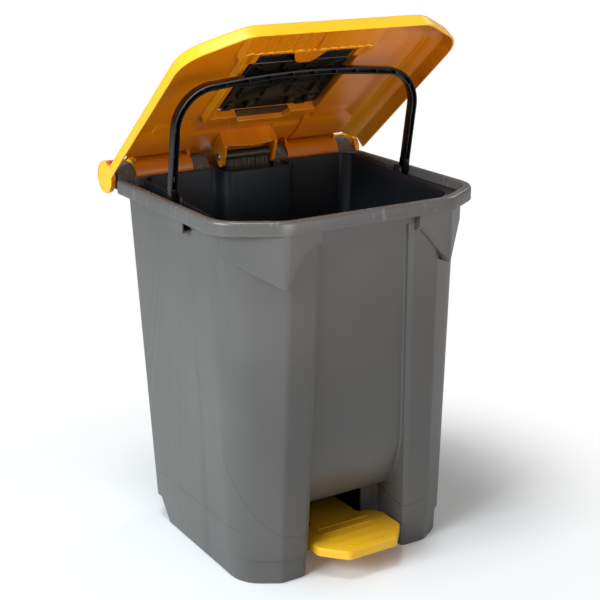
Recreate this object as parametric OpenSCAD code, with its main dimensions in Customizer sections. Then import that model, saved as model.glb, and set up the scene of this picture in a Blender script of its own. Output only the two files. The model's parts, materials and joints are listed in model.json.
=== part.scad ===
// Pedal bin with a hinged lid, a lift-out liner and a foot pedal.
// Millimetres, +Z up, pedal towards -Y. The origin is the centre of the footprint, on the floor.

/* [Body] */
// Outer width of the rim
rim_w = 424; // [354:1:510]
// Outer depth of the rim, front to back
rim_d = 347; // [290:1:417]
// Height of the rim's top above the floor
rim_h = 528; // [440:1:634]
// Height of the rim's outer band
rim_band = 19; // [14:1:26]
// How far the rim stands out from the wall
rim_over = 16; // [13:1:20]
// Width of the body at the floor
base_w = 352; // [320:1:370]
// Setback of the front pillars at the floor
base_setback = 28; // [20:1:34]
// Wall thickness of the body
body_t = 3; // [2.4:0.1:3.6]
// Depth of the ledge that the liner hangs on, below the rim's top
seat_drop = 15; // [12:1:18]

/* [Front channel] */
// Half width of the channel at its top
chan_top = 68.5; // [57:0.5:82]
// Half width of the channel at the floor
chan_base = 82; // [74:0.5:90]
// Depth of the channel's panel behind the pillars
chan_depth = 9.5; // [6:0.5:14]
// Height of the lip under the sweep
lip_z = 83; // [76:1:92]
// Distance of the lip from the rim's front
lip_y = 93; // [80:1:105]
// Height at which the panel starts to sweep back
sweep_z = 200; // [160:1:260]

/* [Liner] */
// Wall thickness of the liner
liner_t = 2.5; // [2:0.1:3]
// Height of the liner's floor
liner_z = 92; // [90:1:110]
// Half width of the recess that clears the push rod
recess_w = 57; // [54:0.5:60]

/* [Bail] */
// Reach of the bail from its pivot to the top of the bar
bail_reach = 161; // [134:1:168]
// Width of the bail's section
bail_band = 12; // [9:0.5:13]
// Depth of the bail's section
bail_depth = 13; // [10:0.5:14]
// Radius of the bail's pivot studs
stud_r = 3; // [2:0.1:3.6]
// Forward lean of the bail as it rests on the lid
bail_lean = 9.5; // [9:0.5:12]

/* [Lid] */
// Overhang of the lid past the rim at each side
lid_over = 8; // [7:0.5:10]
// Rise of the lid's top above the rim
lid_rise = 23; // [21:1:27]
// Wall thickness of the lid
lid_t = 3; // [2.4:0.1:3.4]
// Angle at which the lid stands open
open_a = 39.1; // [30:0.1:45]
// Outer radius of the hinge barrel
barrel_r = 24; // [23:0.5:26]
// Radius of the hinge pins
hinge_r = 4; // [3:0.1:5]

/* [Hatch] */
// Half width of the hatch opening
hatch_w = 88; // [74:1:105]
// Length of the hatch opening, front to back
hatch_d = 147; // [123:1:160]
// Depth of the frame below the lid's top
frame_drop = 15; // [13:1:16]

/* [Pedal and linkage] */
// Half width of the pedal's plate
pedal_w = 71; // [60:0.5:76]
// How far the pedal stands out past the rim
pedal_out = 15; // [10:1:25]
// Height of the pedal's top with the lid open
pedal_z = 46; // [43:1:50]
// Distance of the pedal's axle behind the rim's front
axle_y = 160; // [150:1:175]
// Height of the pedal's axle
axle_z = 42; // [40:1:46]
// Radius of the pedal's axle
axle_r = 4; // [3:0.1:5]
// Length of the lever behind the axle
lever_l = 150; // [138:1:152]
// Radius of the push rod's pins
link_r = 4; // [3:0.1:4.8]
// Half width of the push rod
rod_w = 38; // [32:0.5:38]
// Thickness of the push rod
rod_t = 10; // [8:0.5:12]

/* [Hidden] */
grey = [0.43, 0.43, 0.42];
black = [0.06, 0.06, 0.07];
yellow = [0.98, 0.74, 0.1];
steel = [0.72, 0.73, 0.75];
eps = 0.01;
// running clearance of every pin and shaft in its bore
run = 0.05;
// gap between neighbours that don't touch
gap = 0.5;
corner_n = 5;
big = 1000;

hw = rim_w / 2;
wall_hw = hw - rim_over;
wall_front = 12;
wall_rear = rim_d - 1;
base_hw = base_w / 2;
base_rear = rim_d - 12;
floor_z = 7;
foot_z = 3;
seat_z = rim_h - seat_drop;
seat_hw = hw - 11.5;
seat_front = 10;
hinge_y = rim_d + 1 + barrel_r;
hinge_z = rim_h - 1;
// the footprint runs from the pedal's front edge to the back of the hinge barrel
mid_y = (hinge_y + barrel_r - pedal_out) / 2;

duct_hw = 50;
duct_y = hinge_y - 13;
duct_foot = rim_h - 238;
lug_r = barrel_r - lid_t - 2;
lug_in = [54, 82];
lug_out = [hw - 36, hw - 8];
// height of an inner lug's rib below the hinge
lug_foot = 77;
opening_hw = 64;
opening_z = [13, 75];
grip_y = [140, rim_d - 59];

flange_t = 3;
flange_top = seat_z + flange_t;
liner_hw = wall_hw - body_t - 12;
liner_base_hw = base_hw - 18;
liner_rear = rim_d - 19;
liner_top = rim_h + 3;
recess_y = liner_rear - 37;

bail_y = 199;
bail_z = rim_h - 3;
bail_hw = seat_hw - 1.5;
bail_corner = 62;
bail_crown = 8;
ear_t = 5;
ear_x = bail_hw - bail_band - 1.5;

lip_low = rim_h - 17;
lip_top = rim_h + 3;
lid_hw = hw + lid_over;
lid_front = -6;
lid_top = rim_h + lid_rise;
lid_under = lid_top - lid_t;
skirt_end = rim_d - 2;
barrel_end = hw;
cap_t = 5.5;
disc_t = 3.5;
hatch_y = 100;
frame_t = 3;
hatch_gap = 1.5;
hatch_pin_r = 1.5;
hatch_axis = [hatch_y + hatch_d - 5, lid_top - 3.2];
knuckle_r = 3.1;

// the push rod's upper pin with the lid closed, measured from the hinge axis
arm_pin = [-39.3, -8.7];
cheek_in = rod_w + 2;
cheek_t = 6;
bracket_y = hinge_y - 64;

function turned(p, a) = [p.x * cos(a) + p.y * sin(a), p.y * cos(a) - p.x * sin(a)];
rod_top = [hinge_y, hinge_z] + turned(arm_pin, open_a);
rod_foot = [axle_y + lever_l, axle_z + 10];
foot_play = 4.8;
foot_shift = [3.7, -1.7];
foot_hw = 12;
cheek_gap = 4;
rail_t = 6;
rail_x = foot_hw + cheek_gap;
saddle_x = 30;
saddle_t = 14;
saddle_d = 16;
arm_hw = 39.5;
arm_end = axle_y - 14;
plate_t = 3.5;
pedal_h = 13;

// ---- outlines and shells ----
function unit(v) = v / norm(v);

// an arc of n steps that rounds the corner at q, between p and s, on a convex outline
function corner(p, q, s, r, n) =
    let (
        a = unit(p - q),
        b = unit(s - q),
        half = acos(a * b) / 2,
        cut = min(r / tan(half), 0.45 * min(norm(p - q), norm(s - q))),
        rr = cut * tan(half),
        c = q + unit(a + b) * (rr / sin(half)),
        d = q + a * cut - c,
        start = atan2(d.y, d.x),
        sweep = 180 - 2 * half
    )
    [for (i = [0:n]) c + rr * [cos(start + sweep * i / n), sin(start + sweep * i / n)]];

function rounded(pts, r, n = corner_n) =
    let (k = len(pts))
    [for (i = [0:k - 1]) each corner(pts[(i + k - 1) % k], pts[i], pts[(i + 1) % k], r, n)];

// plan outline with chamfered front corners (cut) and rear corners (rear_cut)
function plan(half, front, rear, cut, rear_cut, r) = rounded([
    [cut.x - half, front], [half - cut.x, front], [half, front + cut.y], [half, rear - rear_cut.y],
    [half - rear_cut.x, rear], [rear_cut.x - half, rear], [-half, rear - rear_cut.y],
    [-half, front + cut.y]], r);

// closed shell through a stack of outlines, each [z, points]
module loft(stack) {
    n = len(stack[0][1]);
    m = len(stack);
    pts = [for (s = stack) for (p = s[1]) [p.x, p.y, s[0]]];
    sides = [for (k = [0:m - 2]) for (i = [0:n - 1])
        let (a = k * n + i, b = k * n + (i + 1) % n)
        each [[a, a + n, b + n], [a, b + n, b]]];
    ends = [[for (i = [0:n - 1]) i], [for (i = [n - 1:-1:0]) (m - 1) * n + i]];
    polyhedron(points = pts, faces = concat(sides, ends));
}

function mix(a, b, t) = a + (b - a) * t;

// a profile in Y and Z, drawn along X from x0 to x1
module along_x(x0, x1) translate([x0, 0, 0]) rotate([90, 0, 90]) linear_extrude(x1 - x0) children();

// a round bar along X
module bar(x0, x1, at, r, fn = 48)
    translate([x0, at.x, at.y]) rotate([0, 90, 0]) cylinder(h = x1 - x0, r = r, $fn = fn);

module both_sides() {
    children();
    mirror([1, 0, 0]) children();
}

// moves the drawing frame, whose Y starts at the rim's front, to the part's origin
module placed() translate([0, -mid_y, 0]) children();

// turns something drawn on the closed lid to where the lid stands open
module opened() placed() translate([0, hinge_y, hinge_z]) rotate([-open_a, 0, 0])
    translate([0, -hinge_y, -hinge_z]) children();

// ---- outer body ----
function wall_plan(z, t = 0) =
    let (k = z / rim_h)
    plan(mix(base_hw, wall_hw + 0.5, k) - t, mix(base_setback, wall_front, k) + t,
        mix(base_rear, wall_rear, k) - t, [mix(50, 79, k) - 0.4 * t, mix(31, 49, k) - 0.4 * t],
        [mix(16, 10, k), mix(26, 10, k)], 26);

module wall_outer() loft([[0, wall_plan(0, 3)], [5, wall_plan(5)], [rim_h - 2, wall_plan(rim_h - 2)]]);

module wall_inner() loft([[floor_z, wall_plan(floor_z, body_t)], [rim_h + 5, wall_plan(rim_h + 5, body_t)]]);

function rim_plan(t) = plan(hw - t, t, rim_d - min(t, body_t), [79 - 0.4 * t, 49 - 0.4 * t], [8, 8], 30 - t);

module rim_block() loft([[rim_h - rim_band, rim_plan(0)], [rim_h - 3, rim_plan(0.5)],
    [rim_h - 1, rim_plan(1)], [rim_h, rim_plan(2.5)]]);

// hollow under the rim, between its skirt and the wall
module rim_hollow() difference() {
    loft([[rim_h - rim_band - 5, rim_plan(body_t)], [rim_h - 3.5, rim_plan(body_t + 0.5)]]);
    wall_outer();
    gussets();
}

function panel_y(z) = mix(base_setback, wall_front, z / rim_h) + chan_depth;

// side view of the channel: an upright panel that sweeps back to the lip
function chan_side(t) = concat(
    [[-30, -1], [lip_y + t, -1], [lip_y + t, lip_z]],
    [for (i = [0:8]) let (a = 90 - i * 11.25)
        [mix(panel_y(sweep_z), lip_y, 1 - cos(a)) + t, sweep_z - (sweep_z - lip_z) * sin(a) + 0.6 * t]],
    [[panel_y(rim_h - 31) + t, rim_h - 31 + t], [-30, rim_h - 31 + t]]);

module channel(t = 0) intersection() {
    along_x(-chan_base - 20, chan_base + 20) polygon(chan_side(t));
    translate([0, 150, 0]) rotate([90, 0, 0]) linear_extrude(200)
        polygon([[-chan_base - t, -2], [chan_base + t, -2], [chan_top + t, rim_h - 30 + t],
            [-chan_top - t, rim_h - 30 + t]]);
}

// tongue under each front corner of the rim, cut to a V
module gussets() both_sides() intersection() {
    linear_extrude(rim_h - 4)
        polygon([[78, 14], [78, 1.5], [hw - 80, 1.5], [wall_hw, 60], [wall_hw - 20, 70], [hw - 100, 24]]);
    translate([0, 100, 0]) rotate([90, 0, 0]) linear_extrude(110)
        polygon([[78, rim_h], [78, rim_h - 40], [hw - 86, rim_h - 92], [hw - 80, rim_h - 92],
            [hw + 5, rim_h - 52], [hw + 5, rim_h]]);
}

// hand grip under the rim at each side
module grips() both_sides() difference() {
    along_x(wall_hw - 3, hw - 3) polygon([[grip_y[0], rim_h - rim_band + 1], [grip_y[0], rim_h - 35],
        [grip_y[1] - 42, rim_h - 35], [grip_y[1], rim_h - rim_band + 1]]);
    translate([wall_hw - 10, grip_y[0] - 1, rim_h - 40])
        cube([hw - 6 - wall_hw + 10, grip_y[1] - grip_y[0] - 40, 37]);
}

module duct(t) along_x(-duct_hw - t, duct_hw + t)
    polygon([[base_rear - 20, duct_foot - 2 * t], [base_rear, duct_foot - 2 * t],
        [duct_y + t, duct_foot + 55], [duct_y + t, rim_h + 4 - 4 * t / 3],
        [base_rear - 20, rim_h + 4 - 4 * t / 3]]);

module lugs() both_sides() for (x = [lug_in, lug_out]) {
    foot = x == lug_in ? lug_foot : rim_band;
    bar(x[0], x[1], [hinge_y, hinge_z], lug_r);
    along_x(x[0], x[1]) polygon([[wall_rear - 2.5, hinge_z - foot], [hinge_y + 8, hinge_z - 17],
        [hinge_y - 6, hinge_z + 17], [wall_rear - 2.5, hinge_z - 3]]);
}

function screw_spots() = [for (s = [-1, 1]) for (y = [-1, 1])
    [s * (saddle_x + saddle_t / 2), axle_y + y * (saddle_d / 2 + 7)]];

module outer_body() color(grey) placed() difference() {
    union() {
        wall_outer();
        rim_block();
        duct(body_t);
        gussets();
        lugs();
    }
    difference() {
        union() {
            wall_inner();
            duct(0);
        }
        channel(body_t);
    }
    channel();
    rim_hollow();
    loft([[seat_z, plan(seat_hw, seat_front, liner_rear + 12.5, [74, 45], [8, 8], 24)],
        [rim_h + 5, plan(seat_hw, seat_front, liner_rear + 12.5, [74, 45], [8, 8], 24)]]);
    translate([-duct_hw, rim_d - 40, duct_foot + 60]) cube([2 * duct_hw, duct_y - rim_d + 40, rim_h]);
    translate([-opening_hw, lip_y - 5, opening_z[0]])
        cube([2 * opening_hw, body_t + 10, opening_z[1] - opening_z[0]]);
    difference() {
        loft([[-1, wall_plan(0, 20)], [foot_z, wall_plan(0, 20)]]);
        channel(12);
    }
    both_sides() bar(lug_in[0] - 1, lug_out[1] + 1, [hinge_y, hinge_z], hinge_r + run);
    for (p = screw_spots()) translate([p.x, p.y, 0]) cylinder(h = 20, r = 2 + run, $fn = 32);
}

module outer_body_all() {
    outer_body();
    color(grey) placed() grips();
}

// ---- liner ----
function liner_plan(z, t = 0) =
    let (
        k = (z - liner_z) / (liner_top - liner_z),
        low = max(0, (sweep_z + 5 - z) / (sweep_z + 5 - liner_z)),
        front = panel_y(seat_z) + body_t + 3 + 14 * (1 - k) + (lip_y - panel_y(sweep_z) - 6) * low * low
    )
    plan(mix(liner_base_hw, liner_hw, k) - t, front + t, liner_rear - 10 * (1 - k) - t,
        [mix(40, 64, k) - 0.4 * t, mix(24, 38, k) - 0.4 * t], [14, 14], 18);

liner_steps = [for (i = [0:4]) mix(liner_z, sweep_z + 5, i / 4)];

module liner_shape(t, low) loft([
    for (z = liner_steps) [z == liner_z ? z + low : z, liner_plan(z, t)],
    [liner_top + low * eps, liner_plan(liner_top, t)]]);

module recess(t) translate([-recess_w - t, recess_y - t, 0]) cube([2 * (recess_w + t), 100, big]);

// block at each side that becomes the bail's ear
module ear_block() both_sides() translate([ear_x - ear_t, bail_y - 9, seat_z - 14])
    cube([ear_t, 18, bail_z + 8 - seat_z + 14]);

module inner_liner() color(black) placed() difference() {
    union() {
        liner_shape(0, 0);
        loft([for (z = [seat_z, flange_top])
            [z, plan(seat_hw - 1, seat_front + 1, liner_rear + 11.5, [74, 45], [8, 8], 23)]]);
        ear_block();
    }
    difference() {
        liner_shape(liner_t, liner_t);
        recess(liner_t);
        ear_block();
    }
    recess(0);
    // the collar stands up only behind the bail's pivots
    translate([-hw, -50, flange_top]) cube([rim_w, bail_y - 9 + 50, big]);
    translate([ear_x, bail_y - 10, flange_top]) cube([50, 30, big]);
    translate([-ear_x - 50, bail_y - 10, flange_top]) cube([50, 30, big]);
    bar(-hw, hw, [bail_y, bail_z], stud_r + run, 32);
}

// ---- bail ----
// half outline of the bail, inset by t, from the foot of the leg to the middle of the bar
function bail_side(t) = concat(
    [[bail_hw - t, 0]],
    [for (a = [0:10:90])
        [bail_hw - bail_corner, bail_reach - bail_corner] + (bail_corner - t) * [cos(a), sin(a)]],
    [for (i = [1:6]) let (x = (bail_hw - bail_corner) * (1 - i / 6))
        [x, bail_reach - t + bail_crown * (1 - pow(x / (bail_hw - bail_corner), 2))]]);

module bail_strip(t0, t1) {
    outer = bail_side(t0);
    inner = bail_side(t1);
    n = len(outer);
    polygon(concat(outer, [for (i = [n - 1:-1:0]) inner[i]]));
}

module bail_strip_full(t0, t1) {
    bail_strip(t0, t1);
    mirror([1, 0]) bail_strip(t0, t1);
}

module bail_layer(h, t0, t1) translate([0, 0, -h / 2]) linear_extrude(h) bail_strip_full(t0, t1);

module bail_handle() color(black) placed() translate([0, bail_y, bail_z])
    rotate([90 + bail_lean, 0, 0]) {
    difference() {
        bail_layer(bail_depth, 0, bail_band);
        difference() {
            bail_layer(bail_depth - 5, 2.5, bail_band + 1);
            for (x = [-5:5]) translate([x * 24 - 1, bail_reach - 30, -bail_depth])
                cube([2, 60, 2 * bail_depth]);
            for (y = [15:20:95]) translate([-bail_hw, y, -bail_depth])
                cube([2 * bail_hw, 2, 2 * bail_depth]);
            translate([-bail_hw, -1, -bail_depth]) cube([2 * bail_hw, 9, 2 * bail_depth]);
        }
    }
    both_sides() {
        bar(bail_hw - bail_band, bail_hw, [0, 0], bail_depth / 2);
        bar(ear_x - ear_t - 1.5, bail_hw - bail_band + 1, [0, 0], stud_r, 32);
    }
}

// ---- lid ----
function lid_plan(t, r = 34) =
    plan(lid_hw - t, lid_front + t, hinge_y + eps, [80 - 0.4 * t, 51 - 0.4 * t], [6, 6], r);

module lid_skin(t, up) loft([
    [lip_low - up, lid_plan(t)],
    [lip_top - t * 0.5, lid_plan(4 + t)],
    [lip_top + 3 - t * 0.8, lid_plan(8 + t * 0.6)],
    [lid_top - 6 - t, lid_plan(30 + t * 0.2)],
    [lid_top - 1.5 - t, lid_plan(46, 30)],
    [lid_top - t, lid_plan(54, 28)]]);

// a ring sector about the hinge axis, from angle a0 to a1
function sector(r0, r1, a0, a1, n) = concat(
    [for (i = [0:n]) let (a = mix(a0, a1, i / n)) [hinge_y + r1 * cos(a), hinge_z + r1 * sin(a)]],
    [for (i = [n:-1:0]) let (a = mix(a0, a1, i / n)) [hinge_y + r0 * cos(a), hinge_z + r0 * sin(a)]]);

module barrel() {
    r0 = barrel_r - lid_t;
    along_x(-barrel_end, barrel_end) polygon(sector(r0, barrel_r, 2, 100, 12));
    both_sides() {
        along_x(lug_in[1] + gap, lug_out[0] - gap) polygon(sector(r0, barrel_r, -150, 1, 16));
        for (x = [lug_in[1] + gap, lug_out[0] - gap - disc_t, barrel_end - disc_t])
            bar(x, x + disc_t, [hinge_y, hinge_z], barrel_r - 0.5, 64);
    }
}

function arm_at() = [hinge_y, hinge_z] + arm_pin;

module bracket() difference() {
    union() {
        both_sides() along_x(cheek_in, cheek_in + cheek_t) polygon([
            [bracket_y, lid_under + 1], [bracket_y, arm_at().y + 2], [arm_at().x + 2, hinge_z - 22],
            [arm_at().x + 10, hinge_z - 22], [arm_at().x + 12, lid_under + 1]]);
        along_x(-cheek_in - 1, cheek_in + 1) polygon([
            [bracket_y, lid_under + 1], [bracket_y, arm_at().y], [bracket_y + 3, arm_at().y],
            [bracket_y + 3, lid_under + 1]]);
    }
    bar(-cheek_in - 20, cheek_in + 20, arm_at(), link_r + run, 32);
}

module hatch_hole(t, z0, z1) translate([0, 0, z0]) linear_extrude(z1 - z0) polygon(rounded([
    [-hatch_w - t, hatch_y - t], [hatch_w + t, hatch_y - t], [hatch_w + t, hatch_y + hatch_d + t],
    [-hatch_w - t, hatch_y + hatch_d + t]], 8 + t, 3));

module lid() color(yellow) opened() difference() {
    union() {
        difference() {
            lid_skin(0, 0);
            lid_skin(lid_t, 1);
            translate([-lid_hw - 1, skirt_end, 0]) cube([2 * lid_hw + 2, 100, lid_under]);
        }
        intersection() {
            lid_skin(0, 0);
            barrel_roof();
        }
        barrel();
        bracket();
        hatch_hole(frame_t, lid_top - frame_drop, lid_top - 1);
    }
    hatch_hole(0, 0, big);
    // square corners at the hole's rear, where the open hatch stands
    translate([-hatch_w, hatch_axis.x - 6, hinge_z]) cube([2 * hatch_w, 11, big]);
    both_sides() bar(lug_in[0], barrel_end + 1, [hinge_y, hinge_z], hinge_r + run);
    bar(-hatch_w - 2, hatch_w + 2, hatch_axis, hatch_pin_r + run, 24);
}

// strip that carries the roof over the hinge
module barrel_roof() translate([-lid_hw, skirt_end - 5, lid_under])
    cube([2 * lid_hw, hinge_y - skirt_end + 5, lid_t]);

// ledge inside the frame that the hatch rests on
module hatch_ledge() difference() {
    hatch_hole(0.5, lid_top - 6, lid_top - 3.3);
    hatch_hole(-5, lid_top - 7, lid_top);
    translate([-big / 2, hatch_axis.x - 12, 0]) cube(big);
}

module lid_all() {
    lid();
    color(yellow) opened() hatch_ledge();
}

module lid_hatch() color(black) opened() difference() {
    union() {
        hatch_hole(-hatch_gap, lid_top - 3, lid_top);
        difference() {
            hatch_hole(-8, lid_top - 12, lid_top - 2);
            hatch_hole(-10.5, lid_top - 13, lid_top - 3);
            translate([-big / 2, hatch_axis.x - 12, 0]) cube([big, big, big]);
        }
        intersection() {
            hatch_hole(-9, lid_top - 10, lid_top - 2);
            union() {
                for (s = [-1, 1]) translate([0, hatch_y + hatch_d / 2, 0])
                    rotate([0, 0, s * 40]) translate([-120, -1, 0]) cube([240, 2, big]);
                for (x = [-44, 0, 44]) translate([x - 1, 0, 0]) cube([2, hatch_axis.x - 12, big]);
                for (y = [0.33, 0.66]) translate([-100, hatch_y + hatch_d * y, 0]) cube([200, 2, big]);
            }
            translate([-big / 2, 0, 0]) cube([big, hatch_axis.x - 12, big]);
        }
        both_sides() bar(54, 70, hatch_axis, knuckle_r, 32);
    }
    bar(-hatch_w, hatch_w, hatch_axis, hatch_pin_r + run, 24);
}

module hatch_pin() color(steel) opened() bar(-hatch_w - 1.8, hatch_w + 1.8, hatch_axis, hatch_pin_r, 24);

module hinge_pin() color(steel) {
    bar(lug_in[0] - 1, barrel_end - 0.3, [hinge_y, hinge_z], hinge_r);
    bar(lug_in[0] - 3.5, lug_in[0] - 0.3, [hinge_y, hinge_z], hinge_r + 2);
}

module hinge_cap() color(yellow) {
    bar(barrel_end, barrel_end + cap_t - 1, [hinge_y, hinge_z], barrel_r, 64);
    bar(barrel_end, barrel_end + cap_t, [hinge_y, hinge_z], barrel_r - 2, 64);
}

// ---- push rod ----
rod_len = norm(rod_top - rod_foot);
rod_angle = atan2(rod_top.x - rod_foot.x, rod_top.y - rod_foot.y);

module push_rod() color(black) placed() translate([0, rod_foot.x, rod_foot.y])
    rotate([-rod_angle, 0, 0]) difference() {
    union() {
        translate([-rod_w, -rod_t / 2, 60]) cube([2 * rod_w, 4, rod_len - 60]);
        for (x = [-rod_w, -rod_w / 3 - 2, rod_w / 3 - 2, rod_w - 4])
            translate([x, -rod_t / 2, 60]) cube([4, rod_t, rod_len - 60]);
        for (z = [60:75:rod_len - 60]) translate([-rod_w, -rod_t / 2, z]) cube([2 * rod_w, rod_t, 4]);
        rotate([90, 0, 90]) translate([0, 0, -foot_hw]) linear_extrude(2 * foot_hw)
            polygon([[-rod_t / 2, 0], [rod_t / 2, 0], [rod_t / 2, 62], [-rod_t / 2, 62]]);
        bar(-foot_hw, foot_hw, [0, 0], 8);
        bar(-rod_w, rod_w, [0, rod_len], 8);
    }
    bar(-rod_w - 1, rod_w + 1, [0, rod_len], link_r + run);
    bar(-rod_w - 1, rod_w + 1, [0, 0], link_r + run);
}

module rod_upper_pin() color(steel) placed() {
    bar(-cheek_in - cheek_t - 0.4, cheek_in + cheek_t + 0.4, rod_top, link_r);
    both_sides() bar(cheek_in + cheek_t + 0.3, duct_hw - 0.7, rod_top, link_r + 2);
}

module rod_lower_pin() color(steel) placed() {
    bar(-rail_x - rail_t - 1, rail_x + rail_t + 1, rod_foot, link_r);
    both_sides() bar(rail_x + rail_t + 0.5, rail_x + rail_t + 2.5, rod_foot, link_r + foot_play + 2);
}

// ---- pedal ----
function pedal_plan(t) = rounded([
    [-40 + t, t - pedal_out], [40 - t, t - pedal_out], [pedal_w - t, 20], [pedal_w - t, 68],
    [pedal_w - 14, 82 - t], [14 - pedal_w, 82 - t], [t - pedal_w, 68], [t - pedal_w, 20]], 9, 4);

web_z = pedal_z - 8;
screw_ys = [axle_y - 46, axle_y - 26];

module pedal() color(yellow) placed() {
    difference() {
        union() {
            translate([0, 0, pedal_z - pedal_h]) linear_extrude(pedal_h - 1) polygon(pedal_plan(0));
            translate([0, 0, pedal_z - 2]) linear_extrude(2) polygon(pedal_plan(1));
            translate([-arm_hw, 60, pedal_z - pedal_h]) cube([2 * arm_hw, arm_end - 60, pedal_h]);
        }
        translate([0, 0, pedal_z - pedal_h - 1]) linear_extrude(pedal_h + 1 - plate_t)
            polygon(pedal_plan(plate_t));
        translate([plate_t - arm_hw, 50, pedal_z - pedal_h - 1])
            cube([2 * (arm_hw - plate_t), big, pedal_h + 1 - plate_t]);
    }
    for (i = [0:4]) let (w = i == 0 ? 29 : 43)
        translate([-w, -1.5 + i * 16.4, pedal_z - 0.5]) cube([2 * w, 3, 2]);
    for (y = screw_ys) difference() {
        translate([0, y, web_z]) cylinder(h = pedal_z - plate_t - web_z + 0.5, r = 6, $fn = 32);
        translate([0, y, web_z - 1]) cylinder(h = 6, r = 2, $fn = 32);
    }
}

hole_at = rod_foot + foot_shift;

module pedal_lever() color([0.2, 0.2, 0.21]) placed() difference() {
    union() {
        both_sides() along_x(rail_x, rail_x + rail_t) union() {
            polygon([[axle_y - 58, web_z - 8], [axle_y - 58, web_z], [arm_end + 1.5, web_z],
                [axle_y, axle_z + 10], [hole_at.x, hole_at.y + 12],
                [hole_at.x, hole_at.y - 12], [axle_y, axle_z - 10]]);
            translate(hole_at) circle(r = foot_play + link_r + 5, $fn = 48);
            translate([axle_y, axle_z]) circle(r = 10, $fn = 48);
        }
        bar(-rail_x - rail_t, rail_x + rail_t, [axle_y, axle_z], 8);
        translate([-rail_x - 1, axle_y - 58, web_z - 4]) cube([2 * rail_x + 2, 44, 4]);
        translate([-rail_x - 1, axle_y + 50, axle_z]) cube([2 * rail_x + 2, 12, 6]);
    }
    bar(-big / 2, big / 2, [axle_y, axle_z], axle_r + run);
    bar(-big / 2, big / 2, hole_at, link_r + foot_play);
    for (y = screw_ys) translate([0, y, web_z - 10]) cylinder(h = 20, r = 2.2, $fn = 32);
}

module pedal_screws() color(steel) placed() for (y = screw_ys) {
    translate([0, y, web_z - 4]) cylinder(h = 8.5, r = 1.95, $fn = 32);
    translate([0, y, web_z - 7]) cylinder(h = 3, r = 4, $fn = 32);
}

module pedal_axle() color(steel) placed() {
    bar(-saddle_x - saddle_t - 1, saddle_x + saddle_t + 1, [axle_y, axle_z], axle_r);
    both_sides() bar(saddle_x + saddle_t + 0.3, saddle_x + saddle_t + 2.3, [axle_y, axle_z], axle_r + 2);
}

module axle_saddle() color(grey) difference() {
    union() {
        along_x(saddle_x, saddle_x + saddle_t) union() {
            polygon([[axle_y - saddle_d / 2 - 14, floor_z], [axle_y + saddle_d / 2 + 14, floor_z],
                [axle_y + saddle_d / 2 + 14, floor_z + 4], [axle_y + saddle_d / 2, floor_z + 4],
                [axle_y + saddle_d / 2, axle_z], [axle_y - saddle_d / 2, axle_z],
                [axle_y - saddle_d / 2, floor_z + 4], [axle_y - saddle_d / 2 - 14, floor_z + 4]]);
            translate([axle_y, axle_z]) circle(r = saddle_d / 2, $fn = 48);
        }
    }
    bar(0, big, [axle_y, axle_z], axle_r + run);
    for (p = screw_spots()) translate([p.x, p.y, 0]) cylinder(h = 30, r = 2.2, $fn = 32);
}

module saddle_screws() color(steel) placed() for (p = screw_spots()) {
    translate([p.x, p.y, foot_z + 0.3]) cylinder(h = floor_z + 4 - foot_z, r = 2, $fn = 32);
    translate([p.x, p.y, floor_z + 4]) cylinder(h = 2.5, r = 4, $fn = 32);
}

outer_body_all();  // outer_body
inner_liner();
bail_handle();
lid_all();  // lid
lid_hatch();
hatch_pin();
placed() mirror([1, 0, 0]) hinge_pin();  // hinge_pin_left
placed() hinge_pin();  // hinge_pin_right
opened() mirror([1, 0, 0]) hinge_cap();  // hinge_cap_left
opened() hinge_cap();  // hinge_cap_right
push_rod();
rod_upper_pin();
rod_lower_pin();
pedal();
pedal_lever();
pedal_screws();
pedal_axle();
placed() mirror([1, 0, 0]) axle_saddle();  // axle_saddle_left
placed() axle_saddle();  // axle_saddle_right
saddle_screws();
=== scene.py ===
import bpy
import bmesh
import json
from math import acos, atan2, cos, hypot, pi, radians, sin, tan
from mathutils import Matrix, Vector


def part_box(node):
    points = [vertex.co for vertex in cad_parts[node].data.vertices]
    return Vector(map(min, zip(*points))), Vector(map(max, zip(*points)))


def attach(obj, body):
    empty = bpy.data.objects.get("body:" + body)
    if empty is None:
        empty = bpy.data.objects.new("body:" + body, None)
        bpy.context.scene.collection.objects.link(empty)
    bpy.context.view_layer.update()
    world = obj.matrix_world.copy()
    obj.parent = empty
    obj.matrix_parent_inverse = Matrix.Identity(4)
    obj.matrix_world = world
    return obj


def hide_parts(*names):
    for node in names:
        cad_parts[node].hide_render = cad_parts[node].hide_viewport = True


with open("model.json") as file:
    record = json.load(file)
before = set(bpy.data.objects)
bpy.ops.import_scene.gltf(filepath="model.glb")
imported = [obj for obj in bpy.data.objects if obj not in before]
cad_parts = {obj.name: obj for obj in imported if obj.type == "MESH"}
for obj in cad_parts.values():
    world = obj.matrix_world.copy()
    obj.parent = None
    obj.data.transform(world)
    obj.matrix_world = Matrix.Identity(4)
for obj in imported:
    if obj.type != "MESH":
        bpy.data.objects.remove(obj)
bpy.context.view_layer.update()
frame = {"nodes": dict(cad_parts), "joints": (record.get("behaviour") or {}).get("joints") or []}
print("frame loaded,", len(frame["nodes"]), "nodes")

# Lengths below are millimetres. x is 0 on the middle plane, y is 0 at the rim's front, z is 0 on the floor.
milli = 0.001
bodyLow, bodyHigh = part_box("outer_body")
rimFront = bodyLow.y
jointAt = {joint["name"]: joint["pos_m"] for joint in frame["joints"]}
hingeAt = jointAt["lid_hinge"]
hingeY = (hingeAt[1] - rimFront) / milli
hingeZ = hingeAt[2] / milli
rimHalf = bodyHigh.x / milli
rimTop = hingeZ + 1
boreRoom = 0.05  # what a bore's radius has over its pin's
flatSharp = 21  # degrees above which an edge stays sharp, on flat pieces
roundSharp = 34  # and on rounded ones


# ---- outlines ----
def mix(a, b, t):
    return a + (b - a) * t


def smooth(low, high, value):
    t = min(1, max(0, (value - low) / (high - low)))
    return t * t * (3 - 2 * t)


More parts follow.
